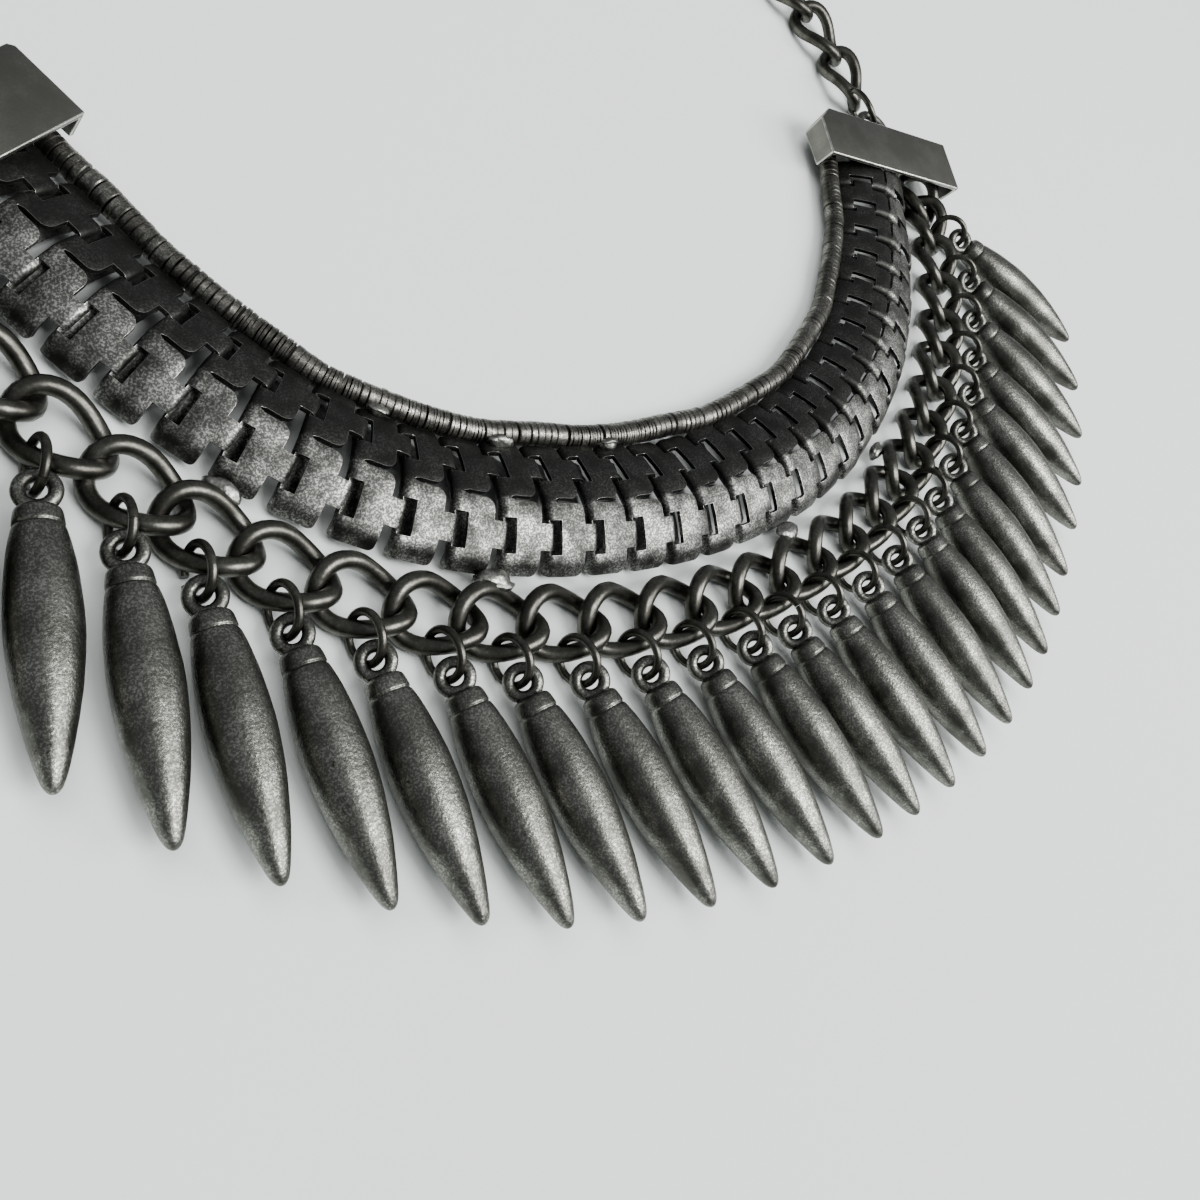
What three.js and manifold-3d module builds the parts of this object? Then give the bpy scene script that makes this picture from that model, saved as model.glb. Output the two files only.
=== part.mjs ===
// Bib necklace in antiqued grey metal: a rim rope of thin washers, a band of arched stamped plates,
// a curb chain and 26 cast drops on jump rings, gathered into two folded end caps and closed behind
// the neck by a link chain with a plain clasp.
// Millimetres, +Z up. It lies on z = 0, drops towards -Y, clasp towards +Y.
import * as THREE from "three";
import { mergeVertices } from "three/addons/utils/BufferGeometryUtils.js";
import Module from "manifold-3d";

const wasm = await Module();
wasm.setup();

// ---- driving dimensions: millimetres and degrees ----

// The ridge of the plate band is the route that everything in front follows.
const PLATE_PITCH = 5.8;
const RIDGE_START = { x: -77.693, y: 10.3161, heading: -69.8 };
const STRETCHES = [
  { name: "left wing", plates: 6, turn: 2.4 },
  { name: "left knee", plates: 6, turn: 6.2 },
  { name: "front", plates: 8, turn: 3.4 },
  { name: "right knee", plates: 7, turn: 4.7 },
  { name: "right wing", plates: 6, turn: 4.2 },
];

const PLATE = {
  sheet: 0.7,
  ridgeTop: 5.5,
  slitStart: 1.2,
  slitTaper: 0.3,
  slitHalfWidth: 0.35,
  slitFlare: 0.1,
  shoulder: 1.1,
  innerLobe: { span: 8.4, edgeTop: 2.9, length: 4.5, tongue: [3.2, 6.2], window: [2.7, 6.8] },
  outerLobe: { span: 8.1, edgeTop: 1.3, length: 5.0, tongue: [2.8, 5.8], window: [2.3, 6.3] },
  tongueReach: 1.5,
  tongueReachAtJoint: 0.3,
  windowFrom: 0.8,
  windowTo: 1.9,
};
// The first plate's place on the ridge is inside the left cap and stays empty.
const FIRST_PLATE = 1;
const BAND_SEGMENTS = [5, 5, 5, 6, 5, 6];

// Chain links clear the surface they lie on by this much.
const FLOOR_GAP = 0.05;

const ROPE = { radius: 1.6, offset: -10.2, height: 2.8, sides: 8, step: 4, from: 6.4, to: 192.6 };
const ROPE_SEGMENTS = 6;
const ROPE_GAP = 0.5;

const CURB = { wire: 2.0, halfLength: 5.0, halfWidth: 3.6, twist: 1.3, offset: 13.7 };
const CURB_STEP_INSIDE = 8.16;
const CURB_STEP_BETWEEN = 7.5;
const CURB_STEP_AT_CAP = 5.2;
const CURB_SEGMENTS = [5, 4, 5, 5, 4, 5];
const CURB_FIRST_STATION = 10.6;
const CURB_TAPER = { length: 24, inset: 2.2 };

const RING = { wire: 0.96, radius: 2.75, lean: 44, bite: 0.06 };

const DROP = {
  loopRadius: 1.75,
  loopWire: 1.0,
  holeToCollar: 1.9,
  bellyAt: 10.5,
  axisHeight: 3.45,
  holeHeight: 3.3,
  sides: 8,
  profile: [
    { at: 0.0, radius: 2.1 },
    { at: 1.8, radius: 2.2 },
    { at: 2.2, radius: 2.5 },
    { at: 6.0, radius: 3.15 },
    { at: 10.5, radius: 3.45 },
    { at: 16.0, radius: 3.1 },
    { at: 21.0, radius: 2.15 },
    { at: 25.0, radius: 0.95 },
    { at: 26.0, radius: 0.3 },
  ],
};
// How the drops lie: their direction in plan, and the roll of their loops, from the left end to the right.
const DROP_LIE = [
  { drop: 1, way: -112, roll: 62 },
  { drop: 3, way: -106, roll: 66 },
  { drop: 6, way: -93, roll: 34 },
  { drop: 13, way: -79, roll: 30 },
  { drop: 21, way: -76, roll: 62 },
  { drop: 26, way: -53, roll: 66 },
];

const CAP = {
  length: 31,
  depth: 9.5,
  top: 6.5,
  bottom: 2.2,
  wall: 0.65,
  lip: 2.4,
  chamfer: 2.6,
  offset: 2.6,
};
const CAP_LEFT = { station: 9.0, turn: 4 };
const CAP_RIGHT = { station: 190, turn: 9 };
const CAP_LOOP = { radius: 3.0, wire: 1.4, height: 4.2, stand: 0.9 };

const CAP_RING = { wire: 1.1, radius: 3.6, reach: 4.0, hold: 1.7, lean: 37 };
const BACK_LINK = { wire: 2.0, halfLength: 5.5, halfWidth: 3.3, twist: 1.3 };
const BACK_SEGMENTS = [4, 4, 4];
const BACK_SLACK = 0.15;
const CLASP_RING_RUN = 3.95;
const CLASP = {
  length: 11,
  axisHeight: 3.1,
  profile: [
    { at: 0, radius: 0 },
    { at: 0, radius: 1.7 },
    { at: 1.2, radius: 2.6 },
    { at: 3.0, radius: 2.95 },
    { at: 5.3, radius: 3.0 },
    { at: 5.5, radius: 2.75 },
    { at: 5.7, radius: 3.0 },
    { at: 8.0, radius: 2.95 },
    { at: 9.8, radius: 2.6 },
    { at: 11, radius: 1.7 },
    { at: 11, radius: 0 },
  ],
};

// ---- finishes ----

const FINISH = {
  drops: { color: 0x5c5c57, roughness: 0.42, metalness: 1 },
  plates: { color: 0x54544f, roughness: 0.45, metalness: 1 },
  rope: { color: 0x5a5852, roughness: 0.4, metalness: 1 },
  chain: { color: 0x45453f, roughness: 0.35, metalness: 1 },
  caps: { color: 0x4e4e48, roughness: 0.5, metalness: 1 },
};

// ---- joining and cutting ----

function toSolid(geometry) {
  const bare = geometry.clone();
  bare.deleteAttribute("normal");
  bare.deleteAttribute("uv");
  const welded = mergeVertices(bare, 1e-4);
  const vertProperties = new Float32Array(welded.attributes.position.array);
  const triVerts = new Uint32Array(welded.index.array);
  return new wasm.Manifold(new wasm.Mesh({ numProp: 3, vertProperties, triVerts }));
}

function toGeometry(solid) {
  const mesh = solid.getMesh();
  const geometry = new THREE.BufferGeometry();
  geometry.setAttribute("position", new THREE.BufferAttribute(mesh.vertProperties, 3));
  geometry.setIndex(new THREE.BufferAttribute(mesh.triVerts, 1));
  geometry.computeVertexNormals();
  return geometry;
}

// Joins closed meshes into one body. A sliver left where two of them graze is dropped.
function join(geometries) {
  const whole = geometries.map(toSolid).reduce((sum, piece) => sum.add(piece));
  const bodies = whole.decompose().sort((a, b) => b.volume() - a.volume());
  return bodies[0];
}

function namedMesh(name, geometry, finish) {
  const mesh = new THREE.Mesh(geometry, new THREE.MeshStandardMaterial(finish));
  mesh.name = name;
  return mesh;
}

// ---- the route ----

const radians = THREE.MathUtils.degToRad;

// One step along an arc: where it ends and which way it then heads.
function stepAlong(place, length, turn) {
  const half = place.heading + turn / 2;
  const bend = radians(turn) / 2;
  const chord = Math.abs(bend) < 1e-9 ? length : (length * Math.sin(bend)) / bend;
  return {
    x: place.x + chord * Math.cos(radians(half)),
    y: place.y + chord * Math.sin(radians(half)),
    heading: place.heading + turn,
  };
}

// The ridge at a station, which is its length from the first plate's back edge.
function ridgeAt(station) {
  let place = RIDGE_START;
  let left = station;
  for (const [index, stretch] of STRETCHES.entries()) {
    const length = stretch.plates * PLATE_PITCH;
    const isLast = index === STRETCHES.length - 1;
    const part = isLast ? left : Math.min(left, length);
    place = stepAlong(place, part, (part / PLATE_PITCH) * stretch.turn);
    left -= part;
    if (left <= 0) break;
  }
  return place;
}

function turnRateAt(station) {
  let end = 0;
  for (const stretch of STRETCHES) {
    end += stretch.plates * PLATE_PITCH;
    if (station < end) return radians(stretch.turn) / PLATE_PITCH;
  }
  return radians(STRETCHES.at(-1).turn) / PLATE_PITCH;
}

// A point beside the ridge: a positive offset is on the drops' side.
function beside(place, offset, height) {
  const across = radians(place.heading - 90);
  return new THREE.Vector3(
    place.x + offset * Math.cos(across),
    place.y + offset * Math.sin(across),
    height,
  );
}

function placeAt(position, heading) {
  return new THREE.Matrix4()
    .makeRotationZ(radians(heading))
    .setPosition(position);
}

// ---- rim rope ----

function ropeSegment(from, to) {
  const count = Math.max(2, Math.round((to - from) / ROPE.step));
  const points = [];
  for (let i = 0; i <= count; i += 1) {
    const place = ridgeAt(from + ((to - from) * i) / count);
    points.push(beside(place, ROPE.offset, ROPE.height));
  }
  const section = new THREE.Shape();
  section.absarc(0, 0, ROPE.radius, 0, Math.PI * 2);
  const path = new THREE.CatmullRomCurve3(points);
  return new THREE.ExtrudeGeometry(section, {
    steps: count,
    curveSegments: ROPE.sides / 2,
    extrudePath: path,
    bevelEnabled: false,
  });
}

function rimRope() {
  const group = new THREE.Group();
  const length = (ROPE.to - ROPE.from) / ROPE_SEGMENTS;
  for (let i = 0; i < ROPE_SEGMENTS; i += 1) {
    const from = ROPE.from + i * length;
    const to = from + length - ROPE_GAP;
    group.add(namedMesh(`rim_rope_${i + 1}`, ropeSegment(from, to), FINISH.rope));
  }
  return group;
}

// ---- plate band ----

// One lobe of a plate, flat: x along the band, y from the ridge to the edge, z through the sheet.
function lobeOutline(lobe, tongueReach) {
  const [tongueFrom, tongueTo] = lobe.tongue;
  const reach = lobe.length + tongueReach;
  const outline = new THREE.Shape([
    new THREE.Vector2(0, 0),
    new THREE.Vector2(PLATE.slitStart, 0),
    new THREE.Vector2(PLATE.slitStart + PLATE.slitTaper, PLATE.slitHalfWidth),
    new THREE.Vector2(lobe.length - PLATE.shoulder, PLATE.slitHalfWidth + PLATE.slitFlare),
    new THREE.Vector2(lobe.length, PLATE.shoulder),
    new THREE.Vector2(lobe.length, tongueFrom),
    new THREE.Vector2(reach, tongueFrom),
    new THREE.Vector2(reach, tongueTo),
    new THREE.Vector2(lobe.length, tongueTo),
    new THREE.Vector2(lobe.length, lobe.slope),
    new THREE.Vector2(0, lobe.slope),
  ]);
  const [windowFrom, windowTo] = lobe.window;
  outline.holes.push(new THREE.Path([
    new THREE.Vector2(PLATE.windowFrom, windowFrom),
    new THREE.Vector2(PLATE.windowTo, windowFrom),
    new THREE.Vector2(PLATE.windowTo, windowTo),
    new THREE.Vector2(PLATE.windowFrom, windowTo),
  ]));
  return outline;
}

function lobeSolid(lobe, side, reach) {
  const fall = PLATE.ridgeTop - lobe.edgeTop;
  const slope = Math.hypot(lobe.span, fall);
  const outline = lobeOutline({ ...lobe, slope }, reach);
  const sheet = new THREE.ExtrudeGeometry(outline, { depth: PLATE.sheet, bevelEnabled: false });
  sheet.translate(0, 0, -PLATE.sheet);
  sheet.rotateX(-Math.asin(fall / slope));
  sheet.translate(0, 0, PLATE.ridgeTop);
  const solid = toSolid(sheet);
  return side < 0 ? solid : solid.mirror([0, 1, 0]);
}

function plateSolid(reach) {
  return lobeSolid(PLATE.innerLobe, -1, reach).add(lobeSolid(PLATE.outerLobe, 1, reach));
}

function plateBand() {
  const group = new THREE.Group();
  let index = FIRST_PLATE;
  BAND_SEGMENTS.forEach((count, segment) => {
    let whole = null;
    for (let i = 0; i < count; i += 1) {
      const isAtJoint = i === count - 1;
      const reach = isAtJoint ? PLATE.tongueReachAtJoint : PLATE.tongueReach;
      const place = ridgeAt(index * PLATE_PITCH);
      const turn = THREE.MathUtils.radToDeg(turnRateAt(index * PLATE_PITCH + 1)) * PLATE_PITCH;
      const matrix = placeAt(new THREE.Vector3(place.x, place.y, 0), place.heading + turn / 2);
      const plate = plateSolid(reach).transform(matrix.elements);
      whole = whole ? whole.add(plate) : plate;
      index += 1;
    }
    group.add(namedMesh(`plate_band_${segment + 1}`, toGeometry(whole), FINISH.plates));
  });
  return group;
}

// ---- links and rings ----

// A twisted oval link: a ring drawn out to an oval whose four quarters rise and fall in turn.
function linkGeometry(link, steps = 10, sides = 4) {
  const torus = new THREE.TorusGeometry(1, 0.1, sides, steps);
  const position = torus.attributes.position;
  for (let j = 0; j <= sides; j += 1) {
    for (let i = 0; i <= steps; i += 1) {
      const round = (i / steps) * Math.PI * 2;
      const section = (j / sides) * Math.PI * 2;
      const normal = new THREE.Vector2(
        Math.cos(round) * link.halfWidth,
        Math.sin(round) * link.halfLength,
      ).normalize();
      const out = (Math.cos(section) * link.wire) / 2;
      const x = Math.cos(round) * link.halfLength + normal.x * out;
      const y = Math.sin(round) * link.halfWidth + normal.y * out;
      const z = Math.sin(2 * round) * link.twist * -1 + (Math.sin(section) * link.wire) / 2;
      position.setXYZ(j * (steps + 1) + i, x, y, z);
    }
  }
  return torus;
}

// The middle of a link's outer strand, and a jump ring hung on it that reaches towards a drop.
function ringPlace(strand, way, holeHeight = DROP.holeHeight) {
  const along = radians(way);
  const reach = 2 * RING.radius - (RING.wire + CURB.wire) / 2 + RING.bite;
  const rise = holeHeight - strand.z;
  const run = Math.sqrt(reach * reach - rise * rise);
  const hole = new THREE.Vector3(
    strand.x + run * Math.cos(along),
    strand.y + run * Math.sin(along),
    holeHeight,
  );
  const pull = hole.clone().sub(strand).normalize();
  const centre = hole.clone().addScaledVector(pull, -RING.radius);
  return { centre, pull, hole };
}

// A round ring whose plane holds the pull line and leans from upright.
function leaningRing(size, { centre, pull }) {
  const ring = new THREE.TorusGeometry(size.radius, size.wire / 2, 4, 8);
  const level = new THREE.Vector3(-pull.y, pull.x, 0).normalize();
  const up = new THREE.Vector3().crossVectors(pull, level);
  const lean = radians(size.lean);
  const upright = up.clone().multiplyScalar(Math.cos(lean)).addScaledVector(level, Math.sin(lean));
  const normal = new THREE.Vector3().crossVectors(pull, upright);
  ring.applyMatrix4(new THREE.Matrix4().makeBasis(pull, upright, normal).setPosition(centre));
  return ring;
}

// ---- curb chain with its jump rings ----

function curbOffset(station) {
  const bandLength = STRETCHES.reduce((sum, stretch) => sum + stretch.plates, 0) * PLATE_PITCH;
  const fromEnd = Math.min(station, bandLength - station);
  const t = THREE.MathUtils.clamp(fromEnd / CURB_TAPER.length, 0, 1);
  return CURB.offset - CURB_TAPER.inset * (1 - t) ** 2;
}

// The stations of the links, stepped off along the chain's own line.
function curbStations() {
  const stations = [];
  let station = CURB_FIRST_STATION;
  const total = CURB_SEGMENTS.reduce((sum, count) => sum + count);
  for (const count of CURB_SEGMENTS) {
    for (let i = 0; i < count; i += 1) {
      stations.push(station);
      const isByCap = stations.length === 1 || stations.length === total - 1;
      const inside = isByCap ? CURB_STEP_AT_CAP : CURB_STEP_INSIDE;
      const step = i === count - 1 ? CURB_STEP_BETWEEN : inside;
      station += step / (1 + curbOffset(station) * turnRateAt(station + 3));
    }
  }
  return stations;
}

function dropLie(number) {
  const next = Math.max(1, DROP_LIE.findIndex((row) => row.drop >= number));
  const [a, b] = [DROP_LIE[next - 1], DROP_LIE[next]];
  const t = (number - a.drop) / (b.drop - a.drop);
  return {
    way: THREE.MathUtils.lerp(a.way, b.way, t),
    roll: THREE.MathUtils.lerp(a.roll, b.roll, t),
  };
}

function ringOfDrop(number, stations) {
  const station = stations[number];
  const place = ridgeAt(station);
  const strand = beside(place, curbOffset(station) + CURB.halfWidth, CURB.twist + CURB.wire / 2 + FLOOR_GAP);
  return ringPlace(strand, dropLie(number).way);
}

function curbChain(stations) {
  const group = new THREE.Group();
  const height = CURB.twist + CURB.wire / 2 + FLOOR_GAP;
  let number = 0;
  CURB_SEGMENTS.forEach((count, segment) => {
    const pieces = [];
    for (let i = 0; i < count; i += 1) {
      const station = stations[number];
      const place = ridgeAt(station);
      const middle = beside(place, curbOffset(station), height);
      pieces.push(linkGeometry(CURB).applyMatrix4(placeAt(middle, place.heading)));
      const carriesDrop = number > 0 && number < stations.length - 1;
      if (carriesDrop) pieces.push(leaningRing(RING, ringOfDrop(number, stations)));
      number += 1;
    }
    group.add(namedMesh(`curb_chain_${segment + 1}`, toGeometry(join(pieces)), FINISH.chain));
  });
  return group;
}

// ---- drops ----

// A cast drop: its loop's hole is at the origin and the tip lies along +X.
function dropGeometry() {
  const outline = [new THREE.Vector2(0, 0)];
  for (const row of DROP.profile) outline.push(new THREE.Vector2(row.radius, row.at));
  outline.push(new THREE.Vector2(0, DROP.profile.at(-1).at));
  const body = new THREE.LatheGeometry(outline, DROP.sides);
  body.rotateZ(-Math.PI / 2);
  body.translate(DROP.holeToCollar, 0, 0);
  const loop = new THREE.TorusGeometry(DROP.loopRadius, DROP.loopWire / 2, 4, 8);
  loop.rotateZ(Math.PI / 8);
  return toGeometry(join([body, loop]));
}

function drops(stations) {
  const group = new THREE.Group();
  const geometry = dropGeometry();
  for (let number = 1; number <= DROP_LIE.at(-1).drop; number += 1) {
    const { way, roll } = dropLie(number);
    const { hole } = ringOfDrop(number, stations);
    const name = `drop_${String(number).padStart(2, "0")}`;
    const drop = namedMesh(name, geometry, FINISH.drops);
    const belly = DROP.holeToCollar + DROP.bellyAt;
    const rise = Math.asin((DROP.axisHeight - DROP.holeHeight) / belly);
    drop.position.copy(hole);
    drop.rotation.set(radians(-roll), -rise, radians(way), "ZYX");
    group.add(drop);
  }
  return group;
}

// ---- end caps ----

function capPlace(side) {
  const edge = side < 0 ? CAP_LEFT : CAP_RIGHT;
  const place = ridgeAt(edge.station);
  const heading = place.heading + edge.turn;
  return { place, heading: side < 0 ? heading + 180 : heading };
}

// A shallow tray turned over: x runs from its open front to its back, y across the band.
function capGeometry(side) {
  const { length, depth, top, bottom, wall, lip, chamfer } = CAP;
  const half = length / 2;
  const innerSide = side < 0 ? -1 : 1;
  const outer = new THREE.Shape([
    new THREE.Vector2(0, -half),
    new THREE.Vector2(depth, -half),
    new THREE.Vector2(depth, half - chamfer),
    new THREE.Vector2(depth - chamfer, half),
    new THREE.Vector2(0, half),
  ]);
  const hollow = new THREE.Shape([
    new THREE.Vector2(-1, wall - half),
    new THREE.Vector2(depth - wall, wall - half),
    new THREE.Vector2(depth - wall, half - chamfer - wall / 2),
    new THREE.Vector2(depth - chamfer - wall / 2, half - wall),
    new THREE.Vector2(-1, half - wall),
  ]);
  const mouth = new THREE.BoxGeometry(depth - lip + 1, length - 2 * wall, 2 * wall);
  mouth.translate((depth - lip - 1) / 2, 0, bottom);
  const shell = new THREE.ExtrudeGeometry(outer, { depth: top - bottom, bevelEnabled: false });
  shell.translate(0, 0, bottom);
  const space = new THREE.ExtrudeGeometry(hollow, { depth: top - bottom - 2 * wall, bevelEnabled: false });
  space.translate(0, 0, bottom + wall);
  const loop = new THREE.TorusGeometry(CAP_LOOP.radius, CAP_LOOP.wire / 2, 6, 12);
  loop.translate(depth + CAP_LOOP.stand, 0, CAP_LOOP.height);
  const tray = toSolid(shell).add(toSolid(loop)).subtract(toSolid(space)).subtract(toSolid(mouth));
  return toGeometry(innerSide > 0 ? tray : tray.mirror([0, 1, 0]));
}

function endCap(side) {
  const { place, heading } = capPlace(side);
  const name = side < 0 ? "end_cap_left" : "end_cap_right";
  const cap = namedMesh(name, capGeometry(side), FINISH.caps);
  cap.position.copy(beside(place, CAP.offset, 0));
  cap.rotation.z = radians(heading);
  return cap;
}

function capLoopAt(side) {
  const { place, heading } = capPlace(side);
  const reach = CAP.depth + CAP_LOOP.stand + CAP_LOOP.radius;
  const origin = beside(place, CAP.offset, CAP_LOOP.height);
  const along = new THREE.Vector3(Math.cos(radians(heading)), Math.sin(radians(heading)), 0);
  return origin.addScaledVector(along, reach);
}

// ---- the way round the neck ----

// Plain hand-set places from the right cap's loop, round the nape and down to the left cap's loop.
function backRoute() {
  const right = capLoopAt(1);
  const left = capLoopAt(-1);
  const points = [
    [right.x, right.y],
    [right.x + 2, right.y + 14],
    [right.x - 6, right.y + 38],
    [right.x - 32, right.y + 68],
    [(right.x + left.x) / 2, right.y + 80.2],
    [left.x + 32, left.y + 66],
    [left.x + 5, left.y + 36],
    [left.x - 1, left.y + 13],
    [left.x, left.y],
  ];
  const places = points.map(([x, y]) => new THREE.Vector3(x, y, 0));
  return new THREE.CatmullRomCurve3(places, false, "centripetal");
}

// A place on the route at a length from its start, with the way it heads there.
function routeAt(route, length) {
  const t = length / route.getLength();
  const position = route.getPointAt(t);
  const tangent = route.getTangentAt(t);
  return { position, heading: THREE.MathUtils.radToDeg(Math.atan2(tangent.y, tangent.x)) };
}

// One half of the chain behind the neck, from a cap's ring to the ring that holds the clasp.
function backChainHalf(route, side) {
  const total = route.getLength();
  const height = BACK_LINK.twist + BACK_LINK.wire / 2 + FLOOR_GAP;
  const links = BACK_SEGMENTS.reduce((sum, count) => sum + count);
  const half = total / 2 - CLASP.length / 2 - DROP.holeToCollar;
  const run = half - CAP_RING.reach - CLASP_RING_RUN - 2 * BACK_LINK.halfLength;
  const mean = run / (links - 1);
  const levelPlace = (length) => {
    const place = routeAt(route, side > 0 ? length : total - length);
    place.position.z = height;
    return place;
  };
  let at = CAP_RING.reach + BACK_LINK.halfLength;
  return BACK_SEGMENTS.map((count, segment) => {
    const pieces = [];
    for (let i = 0; i < count; i += 1) {
      const { position, heading } = levelPlace(at);
      pieces.push(linkGeometry(BACK_LINK).applyMatrix4(placeAt(position, heading)));
      const isFirst = segment === 0 && i === 0;
      const isLast = segment === BACK_SEGMENTS.length - 1 && i === count - 1;
      if (isFirst) pieces.push(capRing(side, levelPlace(CAP_RING.reach).position));
      if (isLast) {
        const end = levelPlace(at + BACK_LINK.halfLength);
        const way = side > 0 ? end.heading : end.heading + 180;
        pieces.push(leaningRing(RING, ringPlace(end.position, way, CLASP.axisHeight)));
      }
      at += i === count - 1 ? mean - BACK_SLACK * (count - 1) : mean + BACK_SLACK;
    }
    const name = `back_chain_${side > 0 ? "right" : "left"}_${segment + 1}`;
    return namedMesh(name, toGeometry(join(pieces)), FINISH.chain);
  });
}

function backChain() {
  const group = new THREE.Group();
  const route = backRoute();
  group.add(...backChainHalf(route, 1), ...backChainHalf(route, -1));
  group.add(clasp(routeAt(route, route.getLength() / 2)));
  return group;
}

// The ring between a cap's loop and the first link.
function capRing(side, near) {
  const strand = capLoopAt(side);
  const pull = near.clone().sub(strand).normalize();
  const centre = strand.clone().addScaledVector(pull, CAP_RING.radius - CAP_RING.hold);
  return leaningRing(CAP_RING, { centre, pull });
}

// A plain barrel with a loop at each end.
function clasp(middle) {
  const outline = CLASP.profile.map((row) => new THREE.Vector2(row.radius, row.at - CLASP.length / 2));
  const barrel = new THREE.LatheGeometry(outline, 12);
  barrel.rotateZ(-Math.PI / 2);
  const loops = [-1, 1].map((end) => {
    const loop = new THREE.TorusGeometry(DROP.loopRadius, DROP.loopWire / 2, 4, 8);
    loop.rotateX(radians(end * RING.lean));
    loop.translate(end * (CLASP.length / 2 + DROP.holeToCollar), 0, 0);
    return loop;
  });
  const mesh = namedMesh("clasp", toGeometry(join([barrel, ...loops])), FINISH.chain);
  mesh.position.set(middle.position.x, middle.position.y, CLASP.axisHeight);
  mesh.rotation.z = radians(middle.heading);
  return mesh;
}

const necklace = new THREE.Group();
const stations = curbStations();
necklace.add(rimRope());
necklace.add(plateBand());
necklace.add(curbChain(stations));
necklace.add(drops(stations));
necklace.add(endCap(-1));
necklace.add(endCap(1));
necklace.add(backChain());

export default necklace;
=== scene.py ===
"""Looks of a bib necklace in antiqued pewter-coloured metal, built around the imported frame.

Each shape is modelled once in millimetres at the origin. Its copies are laid along the same route as
the frame's solids and brought to metres there.
"""

import logging
import math
import random
from contextlib import contextmanager
from dataclasses import dataclass, field
from enum import Enum
from typing import Callable, Iterator

import bmesh
import bpy
from mathutils import Matrix, Vector

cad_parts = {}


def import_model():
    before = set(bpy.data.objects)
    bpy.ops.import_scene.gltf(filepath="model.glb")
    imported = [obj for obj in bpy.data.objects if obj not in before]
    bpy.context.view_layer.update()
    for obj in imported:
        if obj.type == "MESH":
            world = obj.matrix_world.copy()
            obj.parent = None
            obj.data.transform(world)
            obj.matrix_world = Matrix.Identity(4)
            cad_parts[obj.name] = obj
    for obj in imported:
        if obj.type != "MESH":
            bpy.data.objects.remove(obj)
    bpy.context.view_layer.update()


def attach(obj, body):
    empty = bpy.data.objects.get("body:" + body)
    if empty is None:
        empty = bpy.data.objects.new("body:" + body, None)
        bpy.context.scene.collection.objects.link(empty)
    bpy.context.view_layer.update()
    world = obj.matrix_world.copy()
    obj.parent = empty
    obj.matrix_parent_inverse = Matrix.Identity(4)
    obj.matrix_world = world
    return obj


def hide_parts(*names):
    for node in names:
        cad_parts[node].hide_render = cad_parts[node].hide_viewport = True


LOG = logging.getLogger("necklace")
MM = 0.001
METRES = Matrix.Scale(MM, 4)
SEED = 7

Piece = bpy.types.Object
Test = Callable[[Vector], bool]


class Part(Enum):
    """What is selected in edit mode."""

    VERT = "VERT"
    EDGE = "EDGE"
    FACE = "FACE"


class Side(Enum):
    """An end of the band, as it lies: its sign is the way along +X."""

    LEFT = -1
    RIGHT = 1


# ---- the workbench: small steps that every piece is made with ----


def take(piece: Piece) -> None:
    """Makes a piece the only selected object, and the active one.

    Args:
        piece: the object to take.
    """
    bpy.ops.object.select_all(action="DESELECT")
    piece.select_set(True)
    bpy.context.view_layer.objects.active = piece


@contextmanager
def editing(piece: Piece, part: Part = Part.FACE) -> Iterator[None]:
    """Opens a piece in edit mode with nothing selected.

    Args:
        piece: the object to edit.
        part: what is being selected.
    """
    take(piece)
    bpy.ops.object.mode_set(mode="EDIT")
    bpy.ops.mesh.select_mode(type=part.value)
    bpy.ops.mesh.select_all(action="DESELECT")
    yield
    bpy.ops.object.mode_set(mode="OBJECT")


def pick(part: Part, test: Test) -> None:
    """Selects the vertices, edges or faces whose middle passes a test, and nothing else.

    Args:
        part: what to select.
        test: a test of the middle's place.
    """
    bpy.ops.mesh.select_mode(type=part.value)
    bpy.ops.mesh.select_all(action="DESELECT")
    mesh = bmesh.from_edit_mesh(bpy.context.object.data)
    for element in {Part.VERT: mesh.verts, Part.EDGE: mesh.edges, Part.FACE: mesh.faces}[part]:
        corners = [element] if part is Part.VERT else element.verts
        if test(sum((vert.co for vert in corners), Vector()) / len(corners)):
            element.select_set(True)
    mesh.select_flush_mode()
    bmesh.update_edit_mesh(bpy.context.object.data)


def cut(at: Vector, normal: Vector) -> None:
    """Cuts the open mesh along a plane, keeping both sides.

    Args:
        at: a point on the plane.
        normal: the plane's normal.
    """
    bpy.ops.mesh.select_all(action="SELECT")
    bpy.ops.mesh.bisect(plane_co=at, plane_no=normal)
    bpy.ops.mesh.select_all(action="DESELECT")


def add_modifier(piece: Piece, kind: str, **settings: object) -> None:
    """Adds a modifier with its settings and applies it.

    Args:
        piece: the object that gets it.
        kind: the modifier's type.
        settings: its properties.
    """
    take(piece)
    modifier = piece.modifiers.new(kind.lower(), kind)
    for name, value in settings.items():
        setattr(modifier, name, value)
    bpy.ops.object.modifier_apply(modifier=modifier.name)


def smooth(piece: Piece, degrees: float) -> None:
    """Shades a piece smooth wherever its faces meet at less than an angle.

    Args:
        piece: the object to shade.
        degrees: the angle.
    """
    take(piece)
    bpy.ops.object.shade_smooth_by_angle(angle=math.radians(degrees))


def start(primitive: Callable[..., set[str]], **settings: object) -> Piece:
    """Adds a primitive with nothing else selected.

    Args:
        primitive: the operator that adds it.
        settings: its size and place.

    Returns:
        The new piece, with its place in its mesh.
    """
    bpy.ops.object.select_all(action="DESELECT")
    primitive(**settings)
    bpy.ops.object.transform_apply(location=True, rotation=True, scale=True)
    return bpy.context.object


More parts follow.
